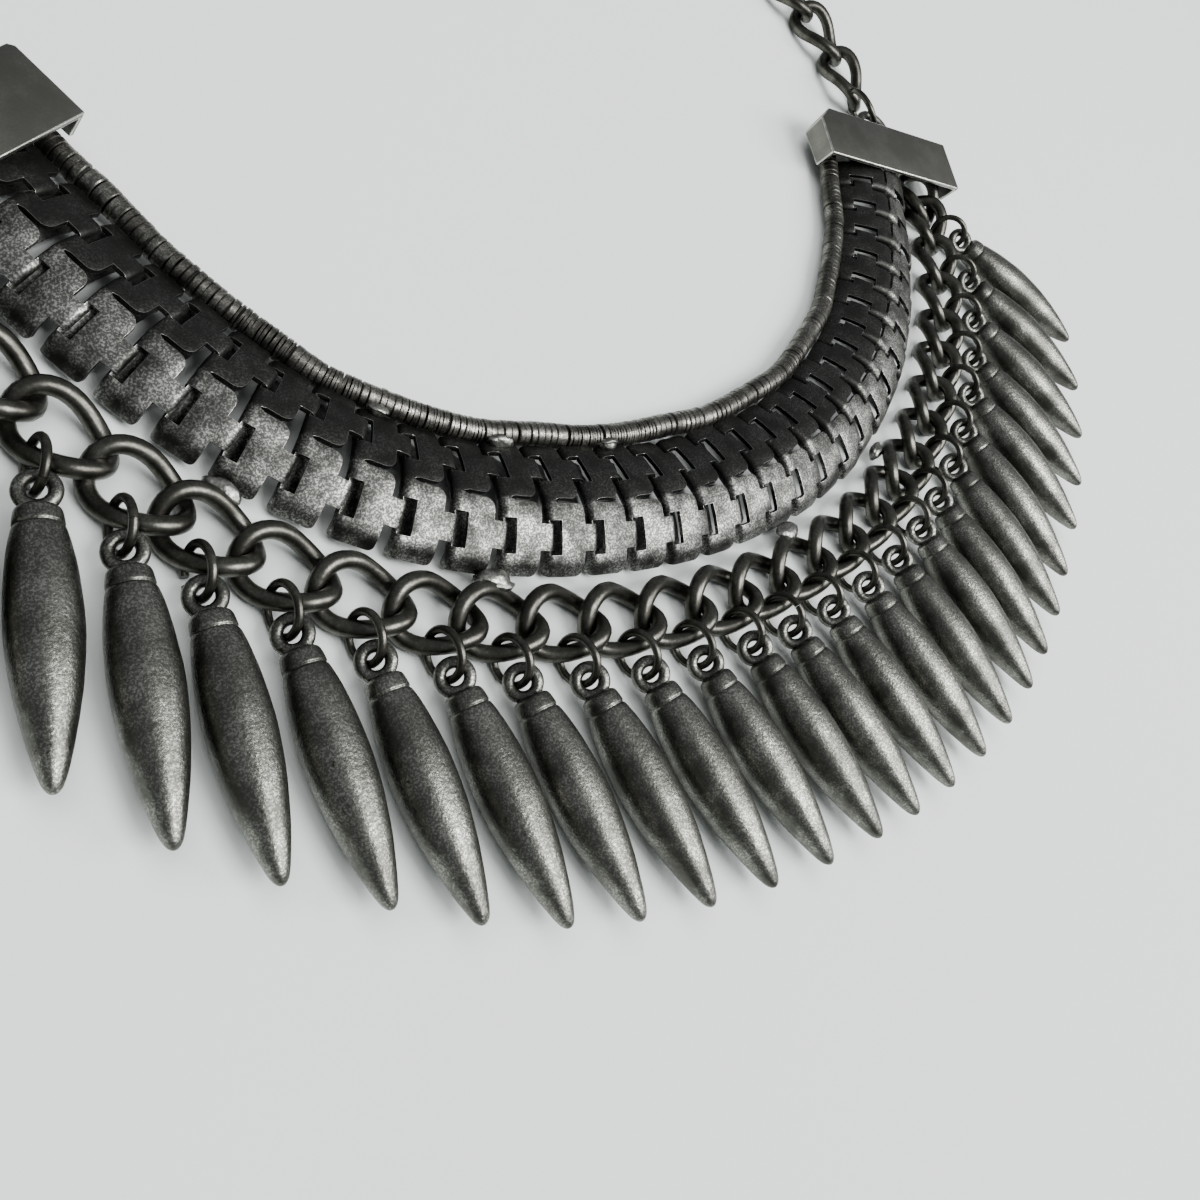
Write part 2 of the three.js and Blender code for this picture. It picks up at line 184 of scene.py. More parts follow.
def face_out(piece: Piece, inward: Callable[[bpy.types.Mesh], bool]) -> None:
    """Makes an open sheet's faces agree, and turns them round if they point inwards.

    Args:
        piece: the sheet.
        inward: a test that tells whether its faces point inwards.
    """
    with editing(piece):
        bpy.ops.mesh.select_all(action="SELECT")
        bpy.ops.mesh.remove_doubles(threshold=0.005)
        bpy.ops.mesh.normals_make_consistent(inside=False)
    if inward(piece.data):
        with editing(piece):
            bpy.ops.mesh.select_all(action="SELECT")
            bpy.ops.mesh.flip_normals()


def burnish(piece: Piece, width: float, segments: int, degrees: float) -> None:
    """Rounds a piece's sharp edges, and gives the rounding the second material slot.

    Args:
        piece: the object to round.
        width: how wide the rounding is.
        segments: how many steps it has.
        degrees: the angle from which an edge is sharp.
    """
    piece.data.materials.append(None)
    piece.data.materials.append(None)
    sharp = math.radians(degrees)
    settings = {"width": width, "segments": segments, "limit_method": "ANGLE", "angle_limit": sharp}
    add_modifier(piece, "BEVEL", material=1, **settings)


def turned(rows: list[tuple[float, float]], sides: int) -> Piece:
    """Models a turned form along +X: a disc drawn out row by row.

    Args:
        rows: (distance along the axis, radius) from its first end to its last, in millimetres.
        sides: how many sides it has.

    Returns:
        The closed form.
    """
    at, radius = rows[0]
    form = start(
        bpy.ops.mesh.primitive_circle_add, vertices=sides, radius=radius, fill_type="NGON",
        location=(at, 0, 0), rotation=(0, math.pi / 2, 0),
    )
    with editing(form):
        bpy.ops.mesh.select_all(action="SELECT")
        for along, wide in rows[1:]:
            bpy.ops.mesh.extrude_region_move(TRANSFORM_OT_translate={"value": (along - at, 0, 0)})
            size = wide / radius
            bpy.ops.transform.resize(value=(1, size, size), center_override=(along, 0, 0))
            at, radius = along, wide
        bpy.ops.mesh.select_all(action="SELECT")
        bpy.ops.mesh.normals_make_consistent(inside=False)
    return form


def ring_form(radius: float, wire: float, around: int, across: int) -> Piece:
    """Adds a round ring of wire in the XY plane.

    Args:
        radius: the ring's radius at the middle of its wire.
        wire: the wire's diameter.
        around: segments round the ring.
        across: segments round the wire.

    Returns:
        The ring.
    """
    return start(
        bpy.ops.mesh.primitive_torus_add, major_radius=radius, minor_radius=wire / 2,
        major_segments=around, minor_segments=across,
    )


@dataclass
class Laid:
    """One copy of a master: what is copied, and where it goes in millimetres."""

    master: Piece
    place: Matrix


def lay(name: str, copies: list[Laid]) -> Piece:
    """Copies masters to their places, joins them, and brings them to metres in the row frame.

    Args:
        name: the finished piece's name.
        copies: what is laid, and where.

    Returns:
        The piece, with its object at the origin.
    """
    laid = []
    for item in copies:
        copy = item.master.copy()
        copy.data = item.master.data.copy()
        bpy.context.collection.objects.link(copy)
        copy.matrix_world = METRES @ item.place
        laid.append(copy)
    take(laid[0])
    for copy in laid[1:]:
        copy.select_set(True)
    if len(laid) > 1:
        bpy.ops.object.join()
    bpy.ops.object.transform_apply(location=True, rotation=True, scale=True)
    piece = bpy.context.object
    piece.name = name
    piece.data.name = name
    return piece


def finish_piece(piece: Piece, node: str) -> None:
    """Makes a finished piece stand for its node in the frame.

    Args:
        piece: the finished piece.
        node: the frame's node that it replaces.
    """
    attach(piece, "root")
    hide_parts(node)
    LOG.info("%s: %d faces, stands for %s", piece.name, len(piece.data.polygons), node)


def bin_master(*masters: Piece) -> None:
    """Removes masters once their copies are laid."""
    for master in masters:
        bpy.data.objects.remove(master)


# ---- finishes ----


def linear(colour: str) -> tuple[float, float, float, float]:
    """Turns an sRGB hex colour to linear.

    Args:
        colour: six hex digits.

    Returns:
        Red, green, blue and alpha.
    """
    values = [int(colour[i : i + 2], 16) / 255 for i in (0, 2, 4)]
    r, g, b = [v / 12.92 if v <= 0.04045 else ((v + 0.055) / 1.055) ** 2.4 for v in values]
    return r, g, b, 1.0


def add_node(
    tree: bpy.types.NodeTree, kind: str, sockets: dict[str | int, object], **settings: object,
) -> bpy.types.Node:
    """Adds a node with its settings, its constants and its links.

    Args:
        tree: the node tree.
        kind: the node's type.
        sockets: each input's value, or the output that feeds it.
        settings: the node's properties.

    Returns:
        The node.
    """
    node = tree.nodes.new(kind)
    for name, value in settings.items():
        setattr(node, name, value)
    for socket, value in sockets.items():
        if isinstance(value, bpy.types.NodeSocket):
            tree.links.new(value, node.inputs[socket])
        else:
            node.inputs[socket].default_value = value
    return node


# the colour sockets of a Mix node that is set to RGBA
MIX_A = 6
MIX_B = 7
MIX_OUT = 2


@dataclass(frozen=True)
class AntiquedMetal:
    """Metal blackened all over, then rubbed back: dark patina, with bare metal where it was touched.

    Clouds, speckle and grain are sized in millimetres. A piece's own attribute, named by polish, says where
    it was rubbed. Faces that point up also get more of the bare colour: that is painted top light, not
    wear.
    """

    name: str
    patina: str
    bare: str
    rubbed: float
    cloud: float = 5.0
    speckle: float = 0.3
    speckle_depth: float = 0.5
    dark_rough: float = 0.5
    bare_rough: float = 0.32
    grain: float = 0.25
    grain_depth: float = 0.012
    # how strongly faces that point up are painted nearer the bare colour: painted top light
    painted_top_light: float = 0.35
    polish: str = ""
    stain: str = ""
    metal: float = 1.0

    def make(self) -> bpy.types.Material:
        """Builds the material.

        Returns:
            The material.
        """
        material = bpy.data.materials.new(self.name)
        material.use_nodes = True
        tree = material.node_tree
        tree.nodes.clear()
        place = add_node(tree, "ShaderNodeTexCoord", {}).outputs["Object"]

        def noise(size: float, detail: float, rough: float) -> bpy.types.NodeSocket:
            """Noise whose features are about this many millimetres."""
            sockets = {"Vector": place, "Scale": 1 / (size * MM), "Detail": detail, "Roughness": rough}
            return add_node(tree, "ShaderNodeTexNoise", sockets).outputs[0]

        def spread(value: object, low: float, high: float, to: tuple[float, float]) -> bpy.types.NodeSocket:
            """Spreads a value between two limits smoothly over a new range."""
            sockets = {"Value": value, 1: low, 2: high, 3: to[0], 4: to[1]}
            return add_node(tree, "ShaderNodeMapRange", sockets, interpolation_type="SMOOTHSTEP").outputs[0]

        def maths(how: str, a: object, b: object) -> bpy.types.NodeSocket:
            """Works one sum on two values, kept between 0 and 1."""
            return add_node(tree, "ShaderNodeMath", {0: a, 1: b}, operation=how, use_clamp=True).outputs[0]

        def blend(share: object, a: object, b: str) -> bpy.types.NodeSocket:
            """Mixes a colour with a hex colour by a share."""
            sockets = {0: share, MIX_A: a, MIX_B: linear(b)}
            return add_node(tree, "ShaderNodeMix", sockets, data_type="RGBA").outputs[MIX_OUT]

        clouds = spread(noise(self.cloud, 3.0, 0.6), 0.35, 0.68, (0.0, 1.0))
        specks = spread(noise(self.speckle, 4.0, 0.7), 0.45, 0.62, (0.0, 1.0))
        # Faces that point up in the world get more of the bare colour: painted top light, added to the
        # rubbed wear.
        normal = add_node(tree, "ShaderNodeNewGeometry", {}).outputs["Normal"]
        upward = add_node(tree, "ShaderNodeSeparateXYZ", {0: normal}).outputs["Z"]
        painted_top_light = spread(upward, 0.45, 1.0, (0.0, self.painted_top_light))
        wear_and_top_light = maths("ADD", maths("MULTIPLY", clouds, self.rubbed), painted_top_light)
        if self.polish:
            polish = add_node(tree, "ShaderNodeAttribute", {}, attribute_name=self.polish).outputs["Fac"]
            wear_and_top_light = maths("MULTIPLY", wear_and_top_light, polish)
        flecks = spread(specks, 0.0, 1.0, (1.0 - self.speckle_depth, 1.0))
        wear_and_top_light = maths("MULTIPLY", wear_and_top_light, flecks)
        colour = blend(wear_and_top_light, linear(self.patina), self.bare)
        if self.stain:
            spots = spread(noise(1.5, 5.0, 0.7), 0.63, 0.7, (0.0, 0.7))
            colour = blend(spots, colour, self.stain)
        rough = spread(wear_and_top_light, 0.0, 1.0, (self.dark_rough, self.bare_rough))
        grain = noise(self.grain, 3.0, 0.6)
        bump = add_node(
            tree, "ShaderNodeBump",
            {"Height": grain, "Distance": self.grain_depth * MM, "Strength": 1.0},
        ).outputs[0]
        shader = add_node(
            tree, "ShaderNodeBsdfPrincipled",
            {"Base Color": colour, "Roughness": rough, "Metallic": self.metal, "Normal": bump},
        )
        add_node(tree, "ShaderNodeOutputMaterial", {"Surface": shader.outputs[0]})
        return material


@dataclass(frozen=True)
class Finishes:
    """Every finish of the necklace."""

    # Every finish below paints the faces that point up nearer its bare colour, by its own share: painted
    # top light, not wear.
    # Pewter-coloured zinc alloy, cast, blackened and tumbled: mottled mid grey with a soft wide gloss,
    # brown where the blackening has stained it.
    cast: AntiquedMetal = AntiquedMetal(
        "cast_zinc_alloy_blackened_and_tumbled", patina="484843", bare="c2c2ba", rubbed=0.5, cloud=5.0,
        speckle=0.24, speckle_depth=0.75, dark_rough=0.4, bare_rough=0.3, grain=0.5, grain_depth=0.06,
        painted_top_light=0.3, stain="2e2620",
    )
    # Steel sheet, stamped and blackened: dark and matt on the neck side, rubbed to bright specks on the
    # drop side.
    stamped: AntiquedMetal = AntiquedMetal(
        "steel_sheet_stamped_and_blackened", patina="30302e", bare="cacac4", rubbed=0.75, cloud=3.5,
        speckle=0.24, speckle_depth=0.82, dark_rough=0.5, bare_rough=0.4, grain=0.2, grain_depth=0.02,
        painted_top_light=0.22, polish="polish",
    )
    # The same sheet where its cut edges were burnished bright by tumbling.
    burnished: AntiquedMetal = AntiquedMetal(
        "steel_sheet_edge_burnished", patina="a0a09a", bare="f2f2ec", rubbed=0.9, cloud=2.0,
        dark_rough=0.34, bare_rough=0.26,
    )
    # Thin steel washers: dark with fine rubbed streaks on their rims, and bare colour painted on the rims'
    # tops as painted top light.
    washer: AntiquedMetal = AntiquedMetal(
        "steel_washers_blackened", patina="3c3a36", bare="b4b2aa", rubbed=0.6, cloud=2.6, speckle=0.22,
        speckle_depth=0.7, dark_rough=0.42, bare_rough=0.3, painted_top_light=0.35,
    )
    # Iron wire, drawn, bent and blackened: smooth gunmetal, with a glossier line of bare colour painted
    # along its top as a painted highlight.
    wire: AntiquedMetal = AntiquedMetal(
        "iron_wire_drawn_and_blackened", patina="3a3934", bare="86857d", rubbed=0.45, cloud=3.0,
        speckle=0.3, speckle_depth=0.4, dark_rough=0.36, bare_rough=0.28, grain=0.6, grain_depth=0.012,
        painted_top_light=0.25,
    )
    # Folded steel sheet of the end caps: an even dark grey, slightly pitted.
    folded: AntiquedMetal = AntiquedMetal(
        "steel_sheet_folded_and_blackened", patina="62625c", bare="8c8c85", rubbed=0.5, cloud=6.0,
        speckle=0.3, speckle_depth=0.4, dark_rough=0.48, bare_rough=0.4, grain=0.25, grain_depth=0.02,
        painted_top_light=0.1,
    )
    # Soft solder, flowed and left rough: bright crusty grey.
    solder: AntiquedMetal = AntiquedMetal(
        "soft_solder_rough", patina="5c5c57", bare="b4b4ae", rubbed=1.0, cloud=0.9, speckle=0.3,
        speckle_depth=0.45, dark_rough=0.42, bare_rough=0.28, grain=0.45, grain_depth=0.1, painted_top_light=0.5,
    )
    # The waxed thread that the washers are strung on, made thick and near black so that it also paints the
    # shade in the gaps between runs of washers.
    thread_and_gap_shade: AntiquedMetal = AntiquedMetal(
        "thread_and_painted_gap_shade", patina="1c1b19", bare="2a2926", rubbed=0.3, dark_rough=0.8,
        bare_rough=0.7, painted_top_light=0.0, metal=0.0,
    )


class Dresser:
    """Makes each finish's material once and puts it on pieces."""

    def __init__(self) -> None:
        """Starts with no materials made."""
        self.made: dict[str, bpy.types.Material] = {}

    def dress(self, piece: Piece, *finishes: AntiquedMetal) -> None:
        """Gives a piece its finishes, one material slot for each.

        Args:
            piece: the object to dress.
            finishes: the finishes in slot order.
        """
        slots = piece.data.materials
        for index, finish in enumerate(finishes):
            if finish.name not in self.made:
                self.made[finish.name] = finish.make()
            if index < len(slots):
                slots[index] = self.made[finish.name]
            else:
                slots.append(self.made[finish.name])


# ---- the route ----


@dataclass(frozen=True)
class Place:
    """A point in plan, in millimetres, and the heading there, in degrees."""

    x: float
    y: float
    heading: float

    def step(self, length: float, turn: float) -> "Place":
        """Goes along an arc.

        Args:
            length: the arc's length.
            turn: how far the heading turns on it.

        Returns:
            The arc's end.
        """
        half = math.radians(self.heading + turn / 2)
        bend = math.radians(turn) / 2
        chord = length if abs(bend) < 1e-9 else length * math.sin(bend) / bend
        return Place(
            self.x + chord * math.cos(half), self.y + chord * math.sin(half), self.heading + turn,
        )

    def beside(self, offset: float, height: float) -> Vector:
        """Gives a point beside this one: a positive offset is on the drops' side."""
        across = math.radians(self.heading - 90)
        return Vector((self.x + offset * math.cos(across), self.y + offset * math.sin(across), height))


def flat_place(position: Vector, heading: float) -> Matrix:
    """Gives the place of something that lies level at a point, with its +X along a heading."""
    return Matrix.Translation(position) @ Matrix.Rotation(math.radians(heading), 4, "Z")


@dataclass(frozen=True)
class Ridge:
    """The ridge of the plate band, which everything in front follows."""

    pitch: float = 5.8
    start: Place = Place(-77.693, 10.3161, -69.8)
    # (plates, turn of each in degrees) from the left wing, round the front, to the right wing
    stretches: tuple[tuple[int, float], ...] = ((6, 2.4), (6, 6.2), (8, 3.4), (7, 4.7), (6, 4.2))

    @property
    def plates(self) -> int:
        """How many plates the band has."""
        return sum(count for count, _ in self.stretches)

    @property
    def length(self) -> float:
        """The band's length."""
        return self.plates * self.pitch

    def at(self, station: float) -> Place:
        """Gives the ridge at a length from the first plate's back edge.

        Args:
            station: the length.

        Returns:
            The place there.
        """
        place = self.start
        left = station
        for index, (count, turn) in enumerate(self.stretches):
            is_last = index == len(self.stretches) - 1
            part = left if is_last else min(left, count * self.pitch)
            place = place.step(part, part / self.pitch * turn)
            left -= part
            if left <= 0:
                break
        return place

    def turn_rate(self, station: float) -> float:
        """Gives how fast the ridge turns at a station, in radians for each millimetre."""
        end = 0.0
        for count, turn in self.stretches:
            end += count * self.pitch
            if station < end:
                return math.radians(turn) / self.pitch
        return math.radians(self.stretches[-1][1]) / self.pitch


# ---- plate band ----


@dataclass(frozen=True)
class Lobe:
    """One half of a plate, measured from the ridge along the sheet."""

    side: int
    width: float
    lead: float
    tongue: tuple[float, float]
    window: tuple[float, float]
    # (distance from the ridge, extra fall in degrees) at each soft crease of the arch
    creases: tuple[tuple[float, float], ...]
    polish: float


@dataclass
class PlateBand:
    """32 stamped plates: each tongue curls down into the next plate's window."""

    ridge: Ridge
    finishes: Finishes
    # the first place on the ridge is inside the left cap and stays empty
    first_plate: int = 1
    segments: tuple[int, ...] = (5, 5, 5, 6, 5, 6)
    sheet: float = 0.6
    ridge_top: float = 5.5
    roll_from: float = 1.05
    roll_radius: float = 0.95
    roll_angle: float = 150
    flap: tuple[float, float] = (3.2, -1.85)
    floor_gap: float = 0.3
    window_from: float = 0.42
    window_to: float = 1.95
    slit_from: float = 1.35
    slit_half: float = 0.3
    shoulder: float = 1.15
    outer_corner: float = 0.7
    tongue_flat: float = 1.15
    tongue_radius: float = 0.75
    tongue_curl: float = 95
    edge_width: float = 0.12
    inner: Lobe = Lobe(
        side=1, width=8.9, lead=4.75, tongue=(3.15, 6.25), window=(2.7, 6.8),
        creases=((0.3, 9), (1.6, 4), (3.15, 4), (4.7, 4), (6.25, 4), (7.4, 6)), polish=0.16,
    )
    outer: Lobe = Lobe(
        side=-1, width=9.3, lead=5.1, tongue=(2.75, 5.85), window=(2.3, 6.35),
        creases=((0.3, 12), (1.5, 4), (2.75, 4), (4.3, 5), (5.85, 6), (7.2, 16), (7.8, 16)), polish=1.0,
    )
    roll_steps: int = 7
    curl_steps: int = 4
    corner_steps: int = 5
    slit_pinch: float = 0.3
    # how far a plate may tip, rock and turn from its place, in degrees
    tip: float = 1.3
    rock: float = 1.6
    yaw: float = 0.9
    solder_foot: float = 1.25
    lump_size: float = 1.1
    lump_height: float = 0.35
    # a solder spot's length, breadth and height, as shares of its radius
    solder_shape: tuple[float, float, float] = (1.25, 0.85, 0.75)
    # (station, distance to the drops' side, height, radius) of each solder spot
    solder_spots: tuple[tuple[float, float, float, float], ...] = (
        (69.0, 8.9, 2.5, 1.7), (42.8, 8.9, 2.2, 1.4), (112.8, 8.9, 2.2, 1.3), (136.8, 8.9, 2.1, 1.2),
        (72.2, -8.4, 3.2, 1.1), (54.5, -8.4, 3.1, 0.9), (89.2, -8.4, 3.2, 1.0),
    )

    def blank(self) -> Piece:
        """Cuts the flat blank with its slit, windows and rounded corners, then rolls its back edge.

        Returns:
            The blank, lying level: +X leads along the band and +Y is the neck side.
        """
        width = self.inner.width + self.outer.width
        lead = self.inner.lead
        blank = start(bpy.ops.mesh.primitive_plane_add, size=1)
        with editing(blank):
            bpy.ops.mesh.select_all(action="SELECT")
            bpy.ops.transform.resize(value=(lead - self.roll_from, width, 1))
            middle = ((lead + self.roll_from) / 2, (self.inner.width - self.outer.width) / 2, 0)
            bpy.ops.transform.translate(value=middle)
            for x in (self.slit_from, self.window_to, lead - self.shoulder):
                cut(Vector((x, 0, 0)), Vector((1, 0, 0)))
            for lobe in (self.inner, self.outer):
                lines = {self.slit_half, *lobe.tongue, *lobe.window}
                lines |= {distance for distance, _ in lobe.creases}
                for y in sorted(lines):
                    cut(Vector((0, lobe.side * y, 0)), Vector((0, 1, 0)))
            pick(Part.FACE, lambda p: abs(p.y) < self.slit_half and p.x > self.slit_from)
            bpy.ops.mesh.delete(type="FACE")
            self.lengthen_outer_lobe(lead)
            self.roll_back_edge()
            self.cut_windows()
            self.curl_tongues()
            self.round_corners()
        return blank

    def lengthen_outer_lobe(self, lead: float) -> None:
        """Moves the drop side's leading edge on, because that lobe is the longer one."""
        pick(Part.VERT, lambda p: p.x > lead - 0.01 and p.y < -0.1)
        bpy.ops.transform.translate(value=(self.outer.lead - lead, 0, 0))
        pick(Part.VERT, lambda p: abs(p.x - self.slit_from) < 0.01 and abs(p.y) < self.slit_half + 0.01)
        bpy.ops.transform.resize(value=(1, self.slit_pinch, 1), center_override=(self.slit_from, 0, 0))

    def roll_back_edge(self) -> None:
        """Rolls the back edge down and under, and runs it on as a flap below the windows."""
        pick(Part.EDGE, lambda p: abs(p.x - self.roll_from) < 0.001)
        bpy.ops.mesh.spin(
            steps=self.roll_steps, angle=math.radians(self.roll_angle),
            center=(self.roll_from, 0, -self.roll_radius), axis=(0, 1, 0),
        )
        ahead, down = self.flap
        bpy.ops.mesh.extrude_region_move(TRANSFORM_OT_translate={"value": (ahead, 0, down)})

    def cut_windows(self) -> None:
        """Cuts each lobe's window through the flat and on through the roll."""
        for lobe in (self.inner, self.outer):
            low, high = lobe.window
            pick(
                Part.FACE,
                lambda p: low < lobe.side * p.y < high
                and self.window_from < p.x < self.window_to
                and p.z > -self.roll_radius,
            )
            bpy.ops.mesh.delete(type="FACE")

    def curl_tongues(self) -> None:
        """Draws each tongue out level, then curls it down."""
        for lobe in (self.inner, self.outer):
            low, high = lobe.tongue
            pick(Part.EDGE, lambda p: low < lobe.side * p.y < high and abs(p.x - lobe.lead) < 0.01)
            bpy.ops.mesh.extrude_region_move(TRANSFORM_OT_translate={"value": (self.tongue_flat, 0, 0)})
            bpy.ops.mesh.spin(
                steps=self.curl_steps, angle=math.radians(self.tongue_curl),
                center=(lobe.lead + self.tongue_flat, 0, -self.tongue_radius), axis=(0, -1, 0),
            )

    def round_corners(self) -> None:
        """Rounds the corners of the leading edge."""
        for lobe in (self.inner, self.outer):
            for y, radius in ((self.slit_half, self.shoulder), (lobe.width, self.outer_corner)):
                pick(
                    Part.VERT,
                    lambda p: abs(lobe.side * p.y - y) < 0.01 and abs(p.x - lobe.lead) < 0.01,
                )
                bpy.ops.mesh.bevel(offset=radius, segments=self.corner_steps, affect="VERTICES")

    def arch(self, blank: Piece) -> None:
        """Bends the blank down on both sides of the ridge, crease by crease from the edges inwards.

        Args:
            blank: the flat blank.
        """
        with editing(blank, Part.VERT):
            for lobe in (self.inner, self.outer):
                for distance, fall in reversed(lobe.creases):
                    pick(Part.VERT, lambda p: lobe.side * p.y > distance - 0.001)
                    bpy.ops.transform.rotate(
                        value=lobe.side * math.radians(fall), orient_axis="X",
                        center_override=(0, lobe.side * distance, 0),
                    )
            lowest = self.floor_gap - self.ridge_top
            pick(Part.VERT, lambda p: p.z < lowest)
            bpy.ops.transform.resize(value=(1, 1, 0), center_override=(0, 0, lowest))

    def mark_polish(self, plate: Piece) -> None:
        """Writes how far each point is rubbed: the drop side more than the neck side.

        Args:
            plate: the arched plate.
        """
        polish = plate.data.attributes.new("polish", "FLOAT", "POINT")
        for vert, value in zip(plate.data.vertices, polish.data):
            value.value = self.inner.polish if vert.co.y > 0 else self.outer.polish

    def plate(self) -> Piece:
        """Makes one plate: blank, arch, thickness and burnished edges.

        Returns:
            The plate, with its ridge's top at the height of the sheet.
        """
        plate = self.blank()
        self.arch(plate)
        face_out(plate, lambda mesh: sum(face.normal.z for face in mesh.polygons) < 0)
        add_modifier(plate, "SOLIDIFY", thickness=self.sheet, offset=-1)
        self.mark_polish(plate)
        burnish(plate, self.edge_width, 2, 50)
        smooth(plate, 38)
        return plate

    def solder_blob(self) -> Piece:
        """Makes a rough blob of solder, a millimetre in radius until it is placed.

        Returns:
            The blob.
        """
        blob = start(bpy.ops.mesh.primitive_ico_sphere_add, subdivisions=4, radius=1)
        with editing(blob, Part.VERT):
            pick(Part.VERT, lambda p: p.z < 0)
            spread = self.solder_foot
            bpy.ops.transform.resize(value=(spread, spread, 1), center_override=(0, 0, 0))
        lumps = bpy.data.textures.new("solder_lumps", "CLOUDS")
        lumps.noise_scale = self.lump_size
        add_modifier(blob, "DISPLACE", texture=lumps, strength=self.lump_height, mid_level=0.5)
        smooth(blob, 180)
        return blob

    def build(self, dresser: Dresser) -> None:
        """Lays every plate and dresses the band, segment by segment.

        Args:
            dresser: what holds the materials.
        """
        chance = random.Random(SEED)
        plate = self.plate()
        blob = self.solder_blob()
        dresser.dress(plate, self.finishes.stamped, self.finishes.burnished)
        dresser.dress(blob, self.finishes.solder)
        index = self.first_plate
        for number, count in enumerate(self.segments, 1):
            laid = []
            first = index * self.ridge.pitch
            for _ in range(count):
                station = index * self.ridge.pitch
                place = self.ridge.at(station)
                turn = math.degrees(self.ridge.turn_rate(station + 1)) * self.ridge.pitch
                lie = flat_place(Vector((place.x, place.y, self.ridge_top)), place.heading + turn / 2)
                for most, axis in ((self.tip, "Y"), (self.rock, "X"), (self.yaw, "Z")):
                    lie @= Matrix.Rotation(math.radians(chance.uniform(-most, most)), 4, axis)
                laid.append(Laid(plate, lie))
                index += 1
            last = index * self.ridge.pitch
            for station, offset, height, radius in self.solder_spots:
                if first <= station < last:
                    place = self.ridge.at(station)
                    lie = flat_place(place.beside(offset, height), place.heading)
                    roll = Matrix.Rotation(chance.uniform(0, math.tau), 4, "X")
                    flat = Matrix.Diagonal((*(share * radius for share in self.solder_shape), 1))
                    laid.append(Laid(blob, lie @ flat @ roll))
            piece = lay(f"plate_band_{number}_plates", laid)
            finish_piece(piece, f"plate_band_{number}")
        bin_master(plate, blob)


# ---- rim rope ----


@dataclass
class RimRope:
    """Washers strung side by side on a thread along the neck edge."""

    ridge: Ridge
    finishes: Finishes
    radius: float = 1.57
    offset: float = -9.95
    height: float = 2.45
    first: float = 6.4
    last: float = 192.6
    segments: int = 6
    sides: int = 16
    rim: float = 0.13
    thick: float = 0.98
    thin: float = 0.46
    play: float = 0.09
    run_length: float = 7.0
    wide_gap: float = 0.22
    sway: float = 0.16
    sway_length: float = 21.0
    # the dark core's half length and radius where it ends, and where it is full: the thread, thickened to
    # paint the shade in a gap
    thread_end: tuple[float, float] = (1.2, 0.9)
    thread_full: tuple[float, float] = (1.1, 1.2)
    # how much runs, washers' depths and washers' widths vary
    run_spread: tuple[float, float] = (0.6, 1.4)
    depth_spread: tuple[float, float] = (0.82, 1.15)
    swell: tuple[float, float] = (0.93, 1.0)
    thin_share: float = 0.3
    tilt: float = 2.2

    def washer(self) -> Piece:
        """Makes one washer with a softened rim, 1 mm thick, its hole filled by the thread.

        Returns:
            The washer, with its axis along +X.
        """
        washer = start(
            bpy.ops.mesh.primitive_cylinder_add, vertices=self.sides, radius=self.radius, depth=1,
            end_fill_type="NGON", rotation=(0, math.pi / 2, 0),
        )
        with editing(washer, Part.EDGE):
            pick(Part.EDGE, lambda p: abs(abs(p.x) - 0.5) < 0.01)
            bpy.ops.mesh.bevel(offset=self.rim, segments=1)
        smooth(washer, 30)
        return washer

    def thread_and_gap_shade(self) -> Piece:
        """Makes a short dark core where the washers stand apart: the thread, thickened to stand for the
        painted shade in the gap.

        Returns:
            The dark core, with its axis along +X.
        """
        end, end_radius = self.thread_end
        full, radius = self.thread_full
        return turned([(-end, end_radius), (-full, radius), (full, radius), (end, end_radius)], 10)

    def line_at(self, station: float) -> Vector:
        """Gives the middle of the rope at a station, with its slight sway."""
        phase = station / self.sway_length * math.tau
        offset = self.offset + self.sway * math.sin(phase)
        height = self.height + self.sway * 0.5 * math.sin(phase * 1.7)
        return self.ridge.at(station).beside(offset, height)

    def build(self, dresser: Dresser) -> None:
        """Strings the washers and dresses the rope, segment by segment.

        Args:
            dresser: what holds the materials.
        """
        chance = random.Random(SEED + 1)
        washer = self.washer()
        thread_and_gap_shade = self.thread_and_gap_shade()
        dresser.dress(washer, self.finishes.washer)
        dresser.dress(thread_and_gap_shade, self.finishes.thread_and_gap_shade)
        segment_length = (self.last - self.first) / self.segments
        station = self.first
        run_end = 0.0
        width = self.thick
        for number in range(1, self.segments + 1):
            laid = []
            while station < self.first + number * segment_length:
                if station > run_end:
                    run_end = station + chance.uniform(*self.run_spread) * self.run_length
                    width = self.thin if chance.random() < self.thin_share else self.thick
                    # a near-black core in each wide gap: the thread, and painted shade between the runs
                    laid.append(Laid(thread_and_gap_shade, self.lie(station + self.wide_gap / 2, 0, 0)))
                    station += self.wide_gap
                depth = width * chance.uniform(*self.depth_spread)
                lie = self.lie(station + depth / 2, chance.gauss(0, self.tilt), chance.gauss(0, self.tilt))
                swell = chance.uniform(*self.swell)
                stretch = Matrix.Diagonal((depth - self.play, swell, swell, 1))
                turn = Matrix.Rotation(chance.uniform(0, math.tau), 4, "X")
                laid.append(Laid(washer, lie @ turn @ stretch))
                station += depth
            piece = lay(f"rim_rope_{number}_washers", laid)
            finish_piece(piece, f"rim_rope_{number}")
        bin_master(washer, thread_and_gap_shade)

    def lie(self, station: float, pitch: float, yaw: float) -> Matrix:
        """Gives the place of a washer on the rope, tipped by two small angles in degrees.

        Args:
            station: how far along the ridge it is.
            pitch: its tip up or down.
            yaw: its turn to a side.

        Returns:
            The place.
        """
        middle = self.line_at(station)
        along = self.line_at(station + 0.5) - self.line_at(station - 0.5)
        heading = math.atan2(along.y, along.x) + math.radians(yaw)
        tip = -math.asin(along.z / along.length) + math.radians(pitch)
        return flat_place(middle, math.degrees(heading)) @ Matrix.Rotation(tip, 4, "Y")


# ---- links, rings and drops ----


